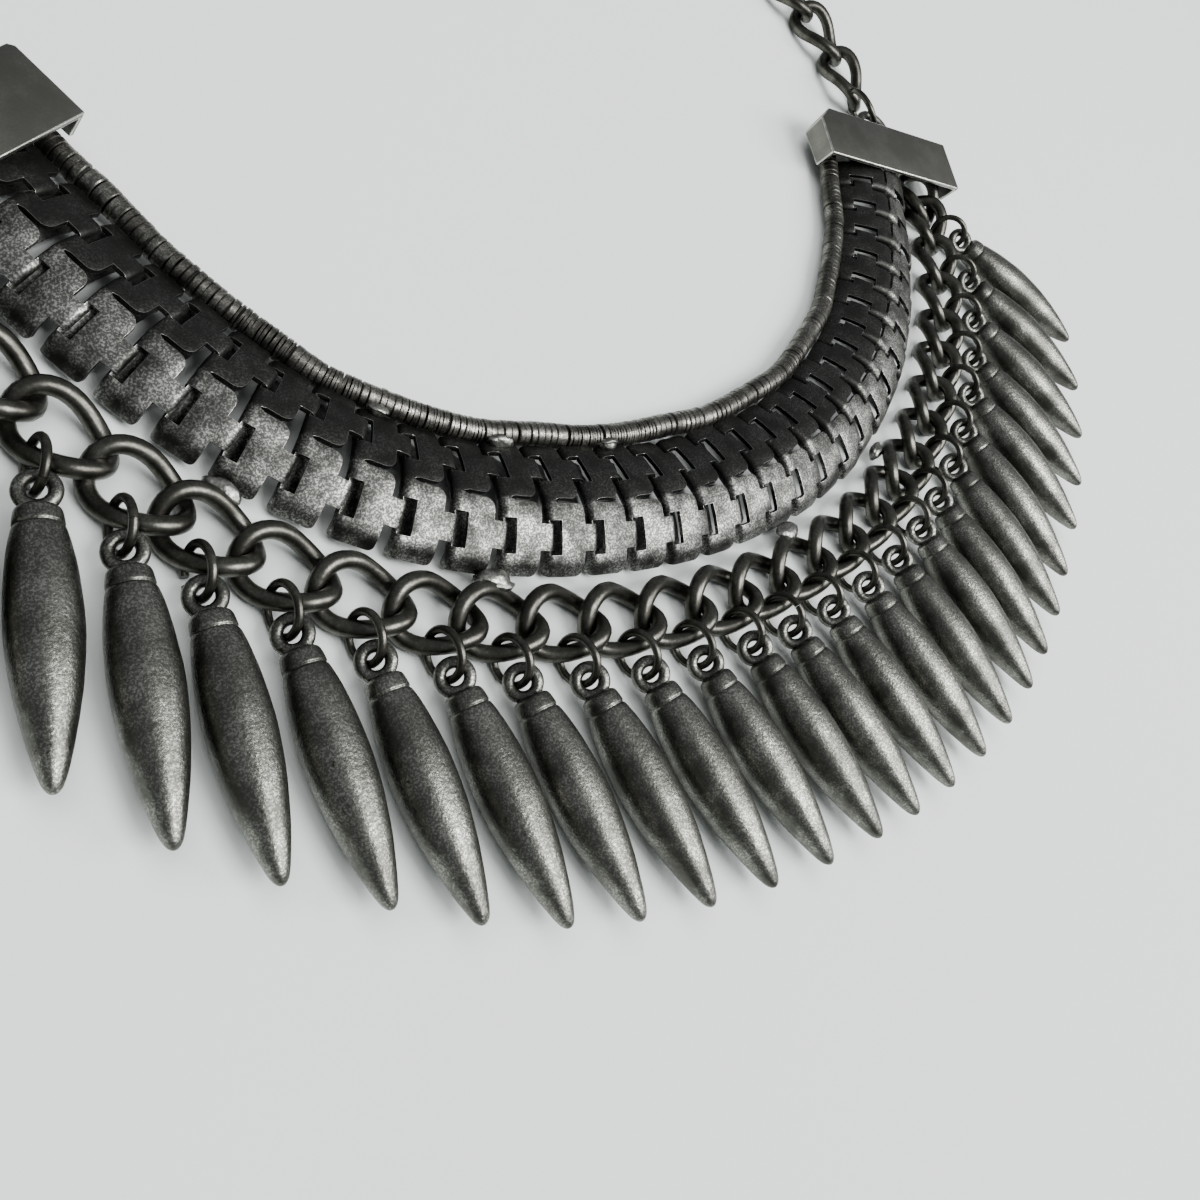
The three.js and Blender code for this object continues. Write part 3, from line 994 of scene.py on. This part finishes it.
@dataclass(frozen=True)
class Link:
    """A twisted oval link of round wire."""

    wire: float
    half_length: float
    half_width: float
    twist: float

    @property
    def height(self) -> float:
        """The height of a lying link's middle."""
        return self.twist + self.wire / 2 + 0.05

    def make(self) -> Piece:
        """Bends the wire: a round loop of wire drawn out to an oval whose quarters rise and fall.

        Returns:
            The link, lying level with its length along +X.
        """
        loop = start(bpy.ops.curve.primitive_bezier_circle_add, radius=1)
        quarter = 4 / 3 * math.tan(math.pi / 8)
        lift = self.twist / 0.75
        for point in loop.data.splines[0].bezier_points:
            x, y, _ = point.co
            rise = -lift if abs(x) > 0.5 else lift
            ahead = Vector((-y, x, 0)).normalized() * quarter
            size = Vector((self.half_length, self.half_width, 1))
            point.handle_left_type = "FREE"
            point.handle_right_type = "FREE"
            tip = Vector((x, y, 0))
            forward = point.handle_right - point.co
            sign = 1 if forward.dot(ahead) > 0 else -1
            point.handle_right = (tip + sign * ahead) * size + Vector((0, 0, sign * rise))
            point.handle_left = (tip - sign * ahead) * size - Vector((0, 0, sign * rise))
            point.co = tip * size
        loop.data.resolution_u = 10
        loop.data.bevel_depth = self.wire / 2
        loop.data.bevel_resolution = 4
        take(loop)
        bpy.ops.object.convert(target="MESH")
        link = bpy.context.object
        with editing(link):
            bpy.ops.mesh.select_all(action="SELECT")
            bpy.ops.mesh.remove_doubles(threshold=0.001)
            bpy.ops.mesh.normals_make_consistent(inside=False)
        smooth(link, 60)
        return link


@dataclass(frozen=True)
class Ring:
    """A round jump ring that leans from upright on the line it is pulled along."""

    wire: float
    radius: float
    lean: float

    def make(self, gap: float) -> Piece:
        """Makes the ring with its cut: a seam, or a gap where it has sprung open.

        Args:
            gap: the width of the cut.

        Returns:
            The ring in the XY plane.
        """
        ring = ring_form(self.radius, self.wire, 40, 10)
        half = gap / 2
        with editing(ring):
            for edge in (-half, half):
                cut(Vector((0, edge, 0)), Vector((0, 1, 0)))
            pick(Part.FACE, lambda p: p.x < 0 and abs(p.y) < half)
            bpy.ops.mesh.delete(type="FACE")
            bpy.ops.mesh.select_mode(type="EDGE")
            bpy.ops.mesh.select_all(action="DESELECT")
            bpy.ops.mesh.select_non_manifold()
            bpy.ops.mesh.fill_holes(sides=0)
        smooth(ring, 50)
        return ring

    def place(self, centre: Vector, pull: Vector) -> Matrix:
        """Gives the ring's place from its middle and the line it is pulled along.

        Args:
            centre: the ring's middle.
            pull: the way it is pulled.

        Returns:
            The place.
        """
        level = Vector((-pull.y, pull.x, 0)).normalized()
        up = pull.cross(level)
        lean = math.radians(self.lean)
        upright = up * math.cos(lean) + level * math.sin(lean)
        normal = pull.cross(upright)
        turn = Matrix((pull, upright, normal)).transposed().to_4x4()
        return Matrix.Translation(centre) @ turn


@dataclass(frozen=True)
class Hang:
    """Where a drop hangs: its ring's middle and pull, and the hole of its own loop."""

    centre: Vector
    pull: Vector
    hole: Vector


@dataclass
class CurbChain:
    """28 curb links along the plates' outer edge, and the jump rings of the drops."""

    ridge: Ridge
    finishes: Finishes
    link: Link = Link(wire=2.0, half_length=5.0, half_width=3.6, twist=1.3)
    ring: Ring = Ring(wire=0.96, radius=2.7, lean=12)
    ring_lift: float = 0.47
    bite: float = 0.06
    offset: float = 13.7
    taper_length: float = 24
    taper_inset: float = 2.2
    segments: tuple[int, ...] = (5, 4, 5, 5, 4, 5)
    first_station: float = 10.6
    step_inside: float = 8.16
    step_between: float = 7.5
    step_at_cap: float = 5.2
    hole_height: float = 3.3
    # the rings' cuts: their width, and in degrees the turn of the first and of each one after it
    seam: float = 0.06
    seam_turn: float = 100
    seam_step: float = 37
    sprung_drop: int = 5
    sprung_gap: float = 0.9
    sprung_turn: float = 75
    # (drop, its direction in plan, the roll of its loop), from the left end to the right
    lies: tuple[tuple[int, float, float], ...] = (
        (1, -112, -8), (3, -106, -14), (6, -93, -34), (13, -79, -38), (21, -76, -34), (26, -53, -30),
    )
    stations: list[float] = field(default_factory=list)

    def __post_init__(self) -> None:
        """Steps the links off along the chain's own line."""
        station = self.first_station
        total = sum(self.segments)
        for count in self.segments:
            for i in range(count):
                self.stations.append(station)
                by_cap = len(self.stations) in (1, total - 1)
                inside = self.step_at_cap if by_cap else self.step_inside
                step = self.step_between if i == count - 1 else inside
                station += step / (1 + self.offset_at(station) * self.ridge.turn_rate(station + 3))

    def offset_at(self, station: float) -> float:
        """Gives how far the chain's line is from the ridge: a little less near the caps."""
        from_end = min(station, self.ridge.length - station)
        t = min(max(from_end / self.taper_length, 0), 1)
        return self.offset - self.taper_inset * (1 - t) ** 2

    def lie_of(self, drop: int) -> tuple[float, float]:
        """Gives a drop's direction in plan and its loop's roll, in degrees.

        Args:
            drop: its number from the left.

        Returns:
            The direction and the roll.
        """
        after = max(1, next(i for i, row in enumerate(self.lies) if row[0] >= drop))
        a, b = self.lies[after - 1], self.lies[after]
        t = (drop - a[0]) / (b[0] - a[0])
        return a[1] + (b[1] - a[1]) * t, a[2] + (b[2] - a[2]) * t

    def hang_from(self, strand: Vector, way: float, hole_height: float) -> Hang:
        """Hangs a ring on a strand so that it reaches a hole.

        Args:
            strand: the middle of the strand that carries it.
            way: the direction it reaches in plan.
            hole_height: the height of the hole.

        Returns:
            The ring's middle and pull, and the hole.
        """
        reach = 2 * self.ring.radius - (self.ring.wire + self.link.wire) / 2 + self.bite
        rise = hole_height - strand.z
        run = math.sqrt(reach * reach - rise * rise)
        along = Vector((math.cos(math.radians(way)), math.sin(math.radians(way)), 0))
        hole = strand + run * along
        hole.z = hole_height
        pull = (hole - strand).normalized()
        return Hang(hole - pull * self.ring.radius, pull, hole)

    def hang_of(self, drop: int) -> Hang:
        """Gives where a drop hangs."""
        station = self.stations[drop]
        outer_strand = self.offset_at(station) + self.link.half_width
        strand = self.ridge.at(station).beside(outer_strand, self.link.height)
        return self.hang_from(strand, self.lie_of(drop)[0], self.hole_height)

    def build(self, dresser: Dresser) -> None:
        """Lays the links and rings and dresses the chain, segment by segment.

        Args:
            dresser: what holds the materials.
        """
        link = self.link.make()
        ring = self.ring.make(self.seam)
        sprung = self.ring.make(self.sprung_gap)
        number = 0
        for segment, count in enumerate(self.segments, 1):
            laid = []
            for _ in range(count):
                station = self.stations[number]
                place = self.ridge.at(station)
                middle = place.beside(self.offset_at(station), self.link.height)
                laid.append(Laid(link, flat_place(middle, place.heading)))
                if 0 < number < len(self.stations) - 1:
                    hang = self.hang_of(number)
                    is_sprung = number == self.sprung_drop
                    turn = self.sprung_turn if is_sprung else self.seam_turn + self.seam_step * number
                    centre = hang.centre + Vector((0, 0, self.ring_lift))
                    lie = self.ring.place(centre, hang.pull) @ Matrix.Rotation(math.radians(turn), 4, "Z")
                    laid.append(Laid(sprung if is_sprung else ring, lie))
                number += 1
            piece = lay(f"curb_chain_{segment}_links", laid)
            dresser.dress(piece, self.finishes.wire)
            finish_piece(piece, f"curb_chain_{segment}")
        bin_master(link, ring, sprung)


@dataclass
class Drops:
    """26 cast drops: a loop, a collar with a groove, and a long full body."""

    chain: CurbChain
    finishes: Finishes
    count: int = 26
    sides: int = 32
    loop_radius: float = 1.58
    loop_wire: float = 1.38
    collar_at: float = 1.88
    belly_at: float = 10.5
    axis_height: float = 3.45
    fill: float = 0.96
    seam: float = 0.07
    seam_from: float = 4.2
    dent: float = 0.1
    dent_size: float = 3.2
    # (distance from the collar's top, radius)
    profile: tuple[tuple[float, float], ...] = (
        (-0.35, 1.0), (-0.22, 1.55), (0.02, 2.02), (0.3, 2.2), (0.9, 2.3), (1.5, 2.38), (1.62, 2.36),
        (1.72, 2.24), (1.84, 2.24), (1.94, 2.38), (2.08, 2.46), (2.6, 2.57), (3.6, 2.78), (5.0, 3.02),
        (7.0, 3.26), (9.0, 3.4), (10.6, 3.45), (12.4, 3.4), (14.4, 3.26), (16.4, 3.02), (18.4, 2.7),
        (20.4, 2.28), (22.2, 1.83), (23.8, 1.4), (25.0, 1.0), (25.6, 0.7), (25.95, 0.35), (26.0, 0.12),
    )

    def drop(self) -> Piece:
        """Makes one drop: a turned body with parting seams, and its loop fused on.

        Returns:
            The drop, with its loop's hole at the origin and its tip along +X.
        """
        rows = [(self.collar_at + at, radius * self.fill) for at, radius in self.profile]
        body = turned(rows, self.sides)
        with editing(body, Part.VERT):
            for side in (-1, 1):
                pick(Part.VERT, lambda p: side * p.y > 0.6 and abs(p.z) < 0.02 and p.x > self.seam_from)
                bpy.ops.transform.translate(value=(0, side * self.seam, 0))
        add_modifier(body, "SUBSURF", levels=1, render_levels=1)
        loop = ring_form(self.loop_radius, self.loop_wire, 36, 14)
        add_modifier(body, "BOOLEAN", operation="UNION", object=loop, solver="EXACT")
        bin_master(loop)
        smooth(body, 55)
        return body

    def build(self, dresser: Dresser) -> None:
        """Hangs every drop on its ring, dents it a little in its own way, and dresses it.

        Args:
            dresser: what holds the materials.
        """
        master = self.drop()
        dents = bpy.data.textures.new("hand_cast_dents", "CLOUDS")
        dents.noise_scale = self.dent_size * MM
        for number in range(1, self.count + 1):
            way, roll = self.chain.lie_of(number)
            hole = self.chain.hang_of(number).hole
            rise = math.asin((self.axis_height - hole.z) / (self.collar_at + self.belly_at))
            turn = Matrix.Rotation(-rise, 4, "Y") @ Matrix.Rotation(math.radians(-roll), 4, "X")
            piece = lay(f"drop_{number:02d}_cast", [Laid(master, flat_place(hole, way) @ turn)])
            settings = {"texture_coords": "GLOBAL", "strength": self.dent * MM, "mid_level": 0.5}
            add_modifier(piece, "DISPLACE", texture=dents, **settings)
            dresser.dress(piece, self.finishes.cast)
            finish_piece(piece, f"drop_{number:02d}")
        bin_master(master)


# ---- end caps ----


@dataclass
class EndCaps:
    """Folded caps that clamp the ends of the rope, the plates and the curb chain."""

    ridge: Ridge
    finishes: Finishes
    length: float = 31
    depth: float = 9.5
    top: float = 6.5
    bottom: float = 2.2
    wall: float = 0.65
    lip: float = 2.4
    left_chamfer: float = 0.6
    right_chamfer: float = 2.4
    offset: float = 2.6
    left_turn: float = 4
    right_turn: float = 9
    left_station: float = 9.0
    right_station: float = 190
    loop_radius: float = 3.0
    loop_wire: float = 1.4
    loop_height: float = 4.2
    loop_stand: float = 0.9
    fold: float = 0.3
    # how far the mouth's lower corners stand back and up
    mouth_corner: tuple[float, float, float] = (0.5, 0, 0.25)

    def heading_of(self, side: Side) -> float:
        """Gives the way a cap's back faces."""
        heading = self.edge_of(side).heading
        return heading + self.left_turn + 180 if side is Side.LEFT else heading + self.right_turn

    def edge_of(self, side: Side) -> Place:
        """Gives the ridge where a cap's mouth is."""
        return self.ridge.at(self.left_station if side is Side.LEFT else self.right_station)

    def loop_reach(self, side: Side) -> Vector:
        """Gives the far side of a cap's loop, which its ring hangs on.

        Args:
            side: which cap.

        Returns:
            The middle of the wire there.
        """
        heading = math.radians(self.heading_of(side))
        reach = self.depth + self.loop_stand + self.loop_radius
        origin = self.edge_of(side).beside(self.offset, self.loop_height)
        return origin + reach * Vector((math.cos(heading), math.sin(heading), 0))

    def tray(self, side: Side) -> Piece:
        """Folds the sheet: a box open at its mouth, with a lip under its back and a cut corner.

        Args:
            side: which cap.

        Returns:
            The cap: +X runs from its mouth to its back.
        """
        inner = side.value
        half = self.length / 2
        tray = start(bpy.ops.mesh.primitive_cube_add, size=1)
        with editing(tray):
            bpy.ops.mesh.select_all(action="SELECT")
            bpy.ops.transform.resize(value=(self.depth, self.length, self.top - self.bottom))
            bpy.ops.transform.translate(value=(self.depth / 2, 0, (self.top + self.bottom) / 2))
            pick(Part.EDGE, lambda p: p.x > self.depth - 0.01 and inner * p.y > half - 0.01)
            chamfer = self.left_chamfer if side is Side.LEFT else self.right_chamfer
            bpy.ops.mesh.bevel(offset=chamfer, segments=1)
            cut(Vector((self.depth - self.lip, 0, 0)), Vector((1, 0, 0)))
            pick(Part.FACE, lambda p: p.x < 0.01)
            bpy.ops.mesh.delete(type="FACE")
            pick(Part.FACE, lambda p: p.z < self.bottom + 0.01 and p.x < self.depth - self.lip)
            bpy.ops.mesh.delete(type="FACE")
            pick(Part.VERT, lambda p: p.z < self.bottom + 0.01 and p.x < 0.01)
            bpy.ops.transform.translate(value=self.mouth_corner)
        face_out(tray, lambda mesh: max(mesh.polygons, key=lambda face: face.center.z).normal.z < 0)
        add_modifier(tray, "SOLIDIFY", thickness=self.wall, offset=-1, use_even_offset=True)
        burnish(tray, self.fold, 3, 40)
        smooth(tray, 40)
        return tray

    def build(self, dresser: Dresser) -> None:
        """Makes and dresses both caps, each with its soldered loop.

        Args:
            dresser: what holds the materials.
        """
        for side in Side:
            name = f"end_cap_{side.name.lower()}"
            tray = self.tray(side)
            loop = ring_form(self.loop_radius, self.loop_wire, 40, 12)
            smooth(loop, 60)
            dresser.dress(tray, self.finishes.folded, self.finishes.burnished)
            dresser.dress(loop, self.finishes.folded)
            lie = flat_place(self.edge_of(side).beside(self.offset, 0), self.heading_of(side))
            stand = Vector((self.depth + self.loop_stand, 0, self.loop_height))
            laid = [Laid(tray, lie), Laid(loop, lie @ Matrix.Translation(stand))]
            piece = lay(f"{name}_folded", laid)
            finish_piece(piece, name)
            bin_master(tray, loop)


# ---- the way round the neck ----


class SoftRoute:
    """A smooth curve through places in plan, measured by its length."""

    def __init__(self, points: list[Vector], steps: int = 60) -> None:
        """Runs the curve and measures it.

        Args:
            points: the places it goes through.
            steps: how many short lengths each span is measured in.
        """
        first = 2 * points[0] - points[1]
        last = 2 * points[-1] - points[-2]
        ends = [first, *points, last]
        self.line: list[Vector] = [points[0]]
        for i in range(1, len(ends) - 2):
            for k in range(1, steps + 1):
                self.line.append(self.span(ends[i - 1 : i + 3], k / steps))
        self.lengths = [0.0]
        for a, b in zip(self.line, self.line[1:]):
            self.lengths.append(self.lengths[-1] + (b - a).length)

    @staticmethod
    def span(four: list[Vector], t: float) -> Vector:
        """Gives a point between the middle two of four places.

        Args:
            four: the places before, at the start, at the end and after.
            t: how far along, from 0 to 1.

        Returns:
            The point.
        """
        p0, p1, p2, p3 = four
        d0, d1, d2 = [math.sqrt((b - a).length) for a, b in zip(four, four[1:])]
        start = ((p1 - p0) / d0 - (p2 - p0) / (d0 + d1) + (p2 - p1) / d1) * d1
        end = ((p2 - p1) / d1 - (p3 - p1) / (d1 + d2) + (p3 - p2) / d2) * d1
        square = 3 * (p2 - p1) - 2 * start - end
        cube = 2 * (p1 - p2) + start + end
        return p1 + start * t + square * t**2 + cube * t**3

    @property
    def length(self) -> float:
        """The curve's length."""
        return self.lengths[-1]

    def at(self, length: float) -> Place:
        """Gives the place at a length from the start.

        Args:
            length: how far along.

        Returns:
            The place there.
        """
        i = next((k for k, value in enumerate(self.lengths) if value >= length), len(self.lengths) - 1)
        i = max(i, 1)
        a, b = self.line[i - 1], self.line[i]
        t = (length - self.lengths[i - 1]) / (self.lengths[i] - self.lengths[i - 1])
        point = a.lerp(b, t)
        ahead = b - a
        return Place(point.x, point.y, math.degrees(math.atan2(ahead.y, ahead.x)))


@dataclass
class BackChain:
    """The link chain behind the neck, from cap to cap, with its plain barrel clasp."""

    caps: EndCaps
    curb: CurbChain
    finishes: Finishes
    link: Link = Link(wire=2.0, half_length=5.5, half_width=3.3, twist=1.3)
    segments: tuple[int, ...] = (4, 4, 4)
    slack: float = 0.15
    cap_ring: Ring = Ring(wire=1.06, radius=3.6, lean=42)
    clasp_ring: Ring = Ring(wire=0.96, radius=2.75, lean=44)
    cap_ring_reach: float = 4.0
    cap_ring_hold: float = 1.7
    clasp_ring_run: float = 3.95
    clasp_length: float = 11
    clasp_height: float = 3.1
    clasp_hole: float = 1.9
    clasp_loop: tuple[float, float] = (1.74, 1.0)
    seam: float = 0.06
    cap_ring_seam: float = 0.08
    # the chain's line in plan: from the right cap's loop, how far back the nape is, to the left cap's
    right_way: tuple[tuple[float, float], ...] = ((0, 0), (2, 14), (-6, 38), (-32, 68))
    nape: float = 80.2
    left_way: tuple[tuple[float, float], ...] = ((32, 66), (5, 36), (-1, 13), (0, 0))
    # (distance along, radius) of the barrel, from end to end
    barrel: tuple[tuple[float, float], ...] = (
        (0.0, 1.0), (0.12, 1.65), (0.6, 2.15), (1.2, 2.52), (2.0, 2.76), (3.0, 2.88), (4.6, 2.94),
        (5.25, 2.94), (5.4, 2.74), (5.6, 2.74), (5.75, 2.94), (6.4, 2.94), (8.0, 2.88), (9.0, 2.76),
        (9.8, 2.52), (10.4, 2.15), (10.88, 1.65), (11.0, 1.0),
    )

    def route(self) -> SoftRoute:
        """Runs the chain's line from the right cap's loop round the nape to the left cap's loop.

        Returns:
            The line.
        """
        right = self.caps.loop_reach(Side.RIGHT).to_2d()
        left = self.caps.loop_reach(Side.LEFT).to_2d()
        points = [right + Vector(step) for step in self.right_way]
        points.append(Vector(((right.x + left.x) / 2, right.y + self.nape)))
        points += [left + Vector(step) for step in self.left_way]
        return SoftRoute(points)

    def half(self, side: Side, route: SoftRoute, dresser: Dresser) -> None:
        """Lays and dresses one half, from a cap's ring to the ring that holds the clasp.

        Args:
            side: which half.
            route: the chain's line.
            dresser: what holds the materials.
        """
        on_right = side is Side.RIGHT
        total = route.length
        links = sum(self.segments)
        reach = total / 2 - self.clasp_length / 2 - self.clasp_hole
        run = reach - self.cap_ring_reach - self.clasp_ring_run - 2 * self.link.half_length
        mean = run / (links - 1)
        link = self.link.make()
        ring = self.clasp_ring.make(self.seam)
        cap_ring = self.cap_ring.make(self.cap_ring_seam)

        def level(length: float) -> tuple[Vector, float]:
            """Gives the point and heading at a length from this side's cap."""
            place = route.at(length if on_right else total - length)
            return Vector((place.x, place.y, self.link.height)), place.heading

        at = self.cap_ring_reach + self.link.half_length
        for segment, count in enumerate(self.segments, 1):
            laid = []
            for i in range(count):
                middle, heading = level(at)
                laid.append(Laid(link, flat_place(middle, heading)))
                if segment == 1 and i == 0:
                    loop = self.caps.loop_reach(side)
                    pull = (level(self.cap_ring_reach)[0] - loop).normalized()
                    centre = loop + pull * (self.cap_ring.radius - self.cap_ring_hold)
                    laid.append(Laid(cap_ring, self.cap_ring.place(centre, pull)))
                if segment == len(self.segments) and i == count - 1:
                    end, way = level(at + self.link.half_length)
                    way = way if on_right else way + 180
                    hang = self.curb.hang_from(end, way, self.clasp_height)
                    laid.append(Laid(ring, self.clasp_ring.place(hang.centre, hang.pull)))
                at += mean - self.slack * (count - 1) if i == count - 1 else mean + self.slack
            name = f"back_chain_{side.name.lower()}_{segment}"
            piece = lay(f"{name}_links", laid)
            dresser.dress(piece, self.finishes.wire)
            finish_piece(piece, name)
        bin_master(link, ring, cap_ring)

    def clasp(self, route: SoftRoute, dresser: Dresser) -> None:
        """Makes and dresses the barrel clasp with its two loops.

        Args:
            route: the chain's line.
            dresser: what holds the materials.
        """
        barrel = turned([(at - self.clasp_length / 2, radius) for at, radius in self.barrel], 32)
        smooth(barrel, 40)
        loop = ring_form(*self.clasp_loop, 32, 12)
        smooth(loop, 60)
        middle = route.at(route.length / 2)
        lie = flat_place(Vector((middle.x, middle.y, self.clasp_height)), middle.heading)
        laid = [Laid(barrel, lie)]
        for end in (-1, 1):
            lean = Matrix.Rotation(math.radians(end * self.clasp_ring.lean), 4, "X")
            reach = Vector((end * (self.clasp_length / 2 + self.clasp_hole), 0, 0))
            laid.append(Laid(loop, lie @ Matrix.Translation(reach) @ lean))
        piece = lay("clasp_barrel", laid)
        dresser.dress(piece, self.finishes.wire)
        finish_piece(piece, "clasp")
        bin_master(barrel, loop)

    def build(self, dresser: Dresser) -> None:
        """Makes both halves and the clasp.

        Args:
            dresser: what holds the materials.
        """
        route = self.route()
        self.half(Side.RIGHT, route, dresser)
        self.half(Side.LEFT, route, dresser)
        self.clasp(route, dresser)


# ---- the studio ----


@dataclass(frozen=True)
class Lamp:
    """A square soft light: where it hangs and its side in metres, and its power in watts."""

    name: str
    at: tuple[float, float, float]
    size: float
    power: float
    glossy: bool = True


@dataclass(frozen=True)
class Studio:
    """A plain pale floor, soft light from above, and the camera."""

    floor_colour: str = "dde2df"
    floor_size: float = 4.0
    camera_at: tuple[float, float, float] = (-112.34, -74.36, 109.48)
    camera_turn: tuple[float, float, float] = (25.13, -32.02, -28.97)
    view_angle: float = 53
    room_colour: str = "c9cdd0"
    room_strength: float = 0.48
    lit_point: tuple[float, float, float] = (0, -0.02, 0)
    lamps: tuple[Lamp, ...] = (
        Lamp("window", (0.68, -0.42, 0.6), 0.4, 5.5), Lamp("skylight", (0.18, -0.44, 0.86), 0.5, 11),
        Lamp("fill", (-0.1, 0.3, 0.9), 0.9, 10, glossy=False),
    )

    def floor(self) -> None:
        """Lays the floor: matt painted board."""
        floor = start(bpy.ops.mesh.primitive_plane_add, size=self.floor_size)
        floor.name = "floor"
        material = bpy.data.materials.new("board_painted_matt")
        material.use_nodes = True
        shader = material.node_tree.nodes["Principled BSDF"]
        shader.inputs["Base Color"].default_value = linear(self.floor_colour)
        shader.inputs["Roughness"].default_value = 0.9
        shader.inputs["Specular IOR Level"].default_value = 0.2
        floor.data.materials.append(material)

    def light(self, lamp: Lamp) -> None:
        """Hangs one light and turns it to the necklace.

        Args:
            lamp: the light.
        """
        bulb = bpy.data.lights.new(lamp.name, "AREA")
        bulb.size = lamp.size
        bulb.energy = lamp.power
        holder = bpy.data.objects.new(lamp.name, bulb)
        holder.location = lamp.at
        aim = Vector(self.lit_point) - Vector(lamp.at)
        holder.rotation_euler = aim.to_track_quat("-Z", "Y").to_euler()
        holder.visible_glossy = lamp.glossy
        bpy.context.scene.collection.objects.link(holder)

    def world(self) -> None:
        """Fills the room with an even pale light."""
        world = bpy.data.worlds.new("room")
        world.use_nodes = True
        background = world.node_tree.nodes["Background"]
        background.inputs["Color"].default_value = linear(self.room_colour)
        background.inputs["Strength"].default_value = self.room_strength
        bpy.context.scene.world = world

    def camera(self) -> None:
        """Sets the camera over the left front of the necklace, looking down across it."""
        lens = bpy.data.cameras.new("camera")
        lens.angle = math.radians(self.view_angle)
        lens.clip_start = 0.005
        lens.clip_end = 20
        holder = bpy.data.objects.new("camera", lens)
        holder.location = Vector(self.camera_at) * MM
        holder.rotation_euler = [math.radians(turn) for turn in self.camera_turn]
        bpy.context.scene.collection.objects.link(holder)
        bpy.context.scene.camera = holder

    def build(self) -> None:
        """Sets up the floor, the lights and the camera."""
        self.floor()
        self.world()
        for lamp in self.lamps:
            self.light(lamp)
        self.camera()


def main() -> None:
    """Builds the necklace piece by piece."""
    logging.basicConfig(level=logging.INFO, format="%(name)s: %(message)s")
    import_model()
    finishes = Finishes()
    dresser = Dresser()
    ridge = Ridge()
    Studio().build()
    curb = CurbChain(ridge, finishes)
    caps = EndCaps(ridge, finishes)
    for assembly in (
        PlateBand(ridge, finishes), RimRope(ridge, finishes), curb, Drops(curb, finishes), caps,
        BackChain(caps, curb, finishes),
    ):
        assembly.build(dresser)
        LOG.info("%s is built", type(assembly).__name__)


if __name__ == "__main__":
    main()
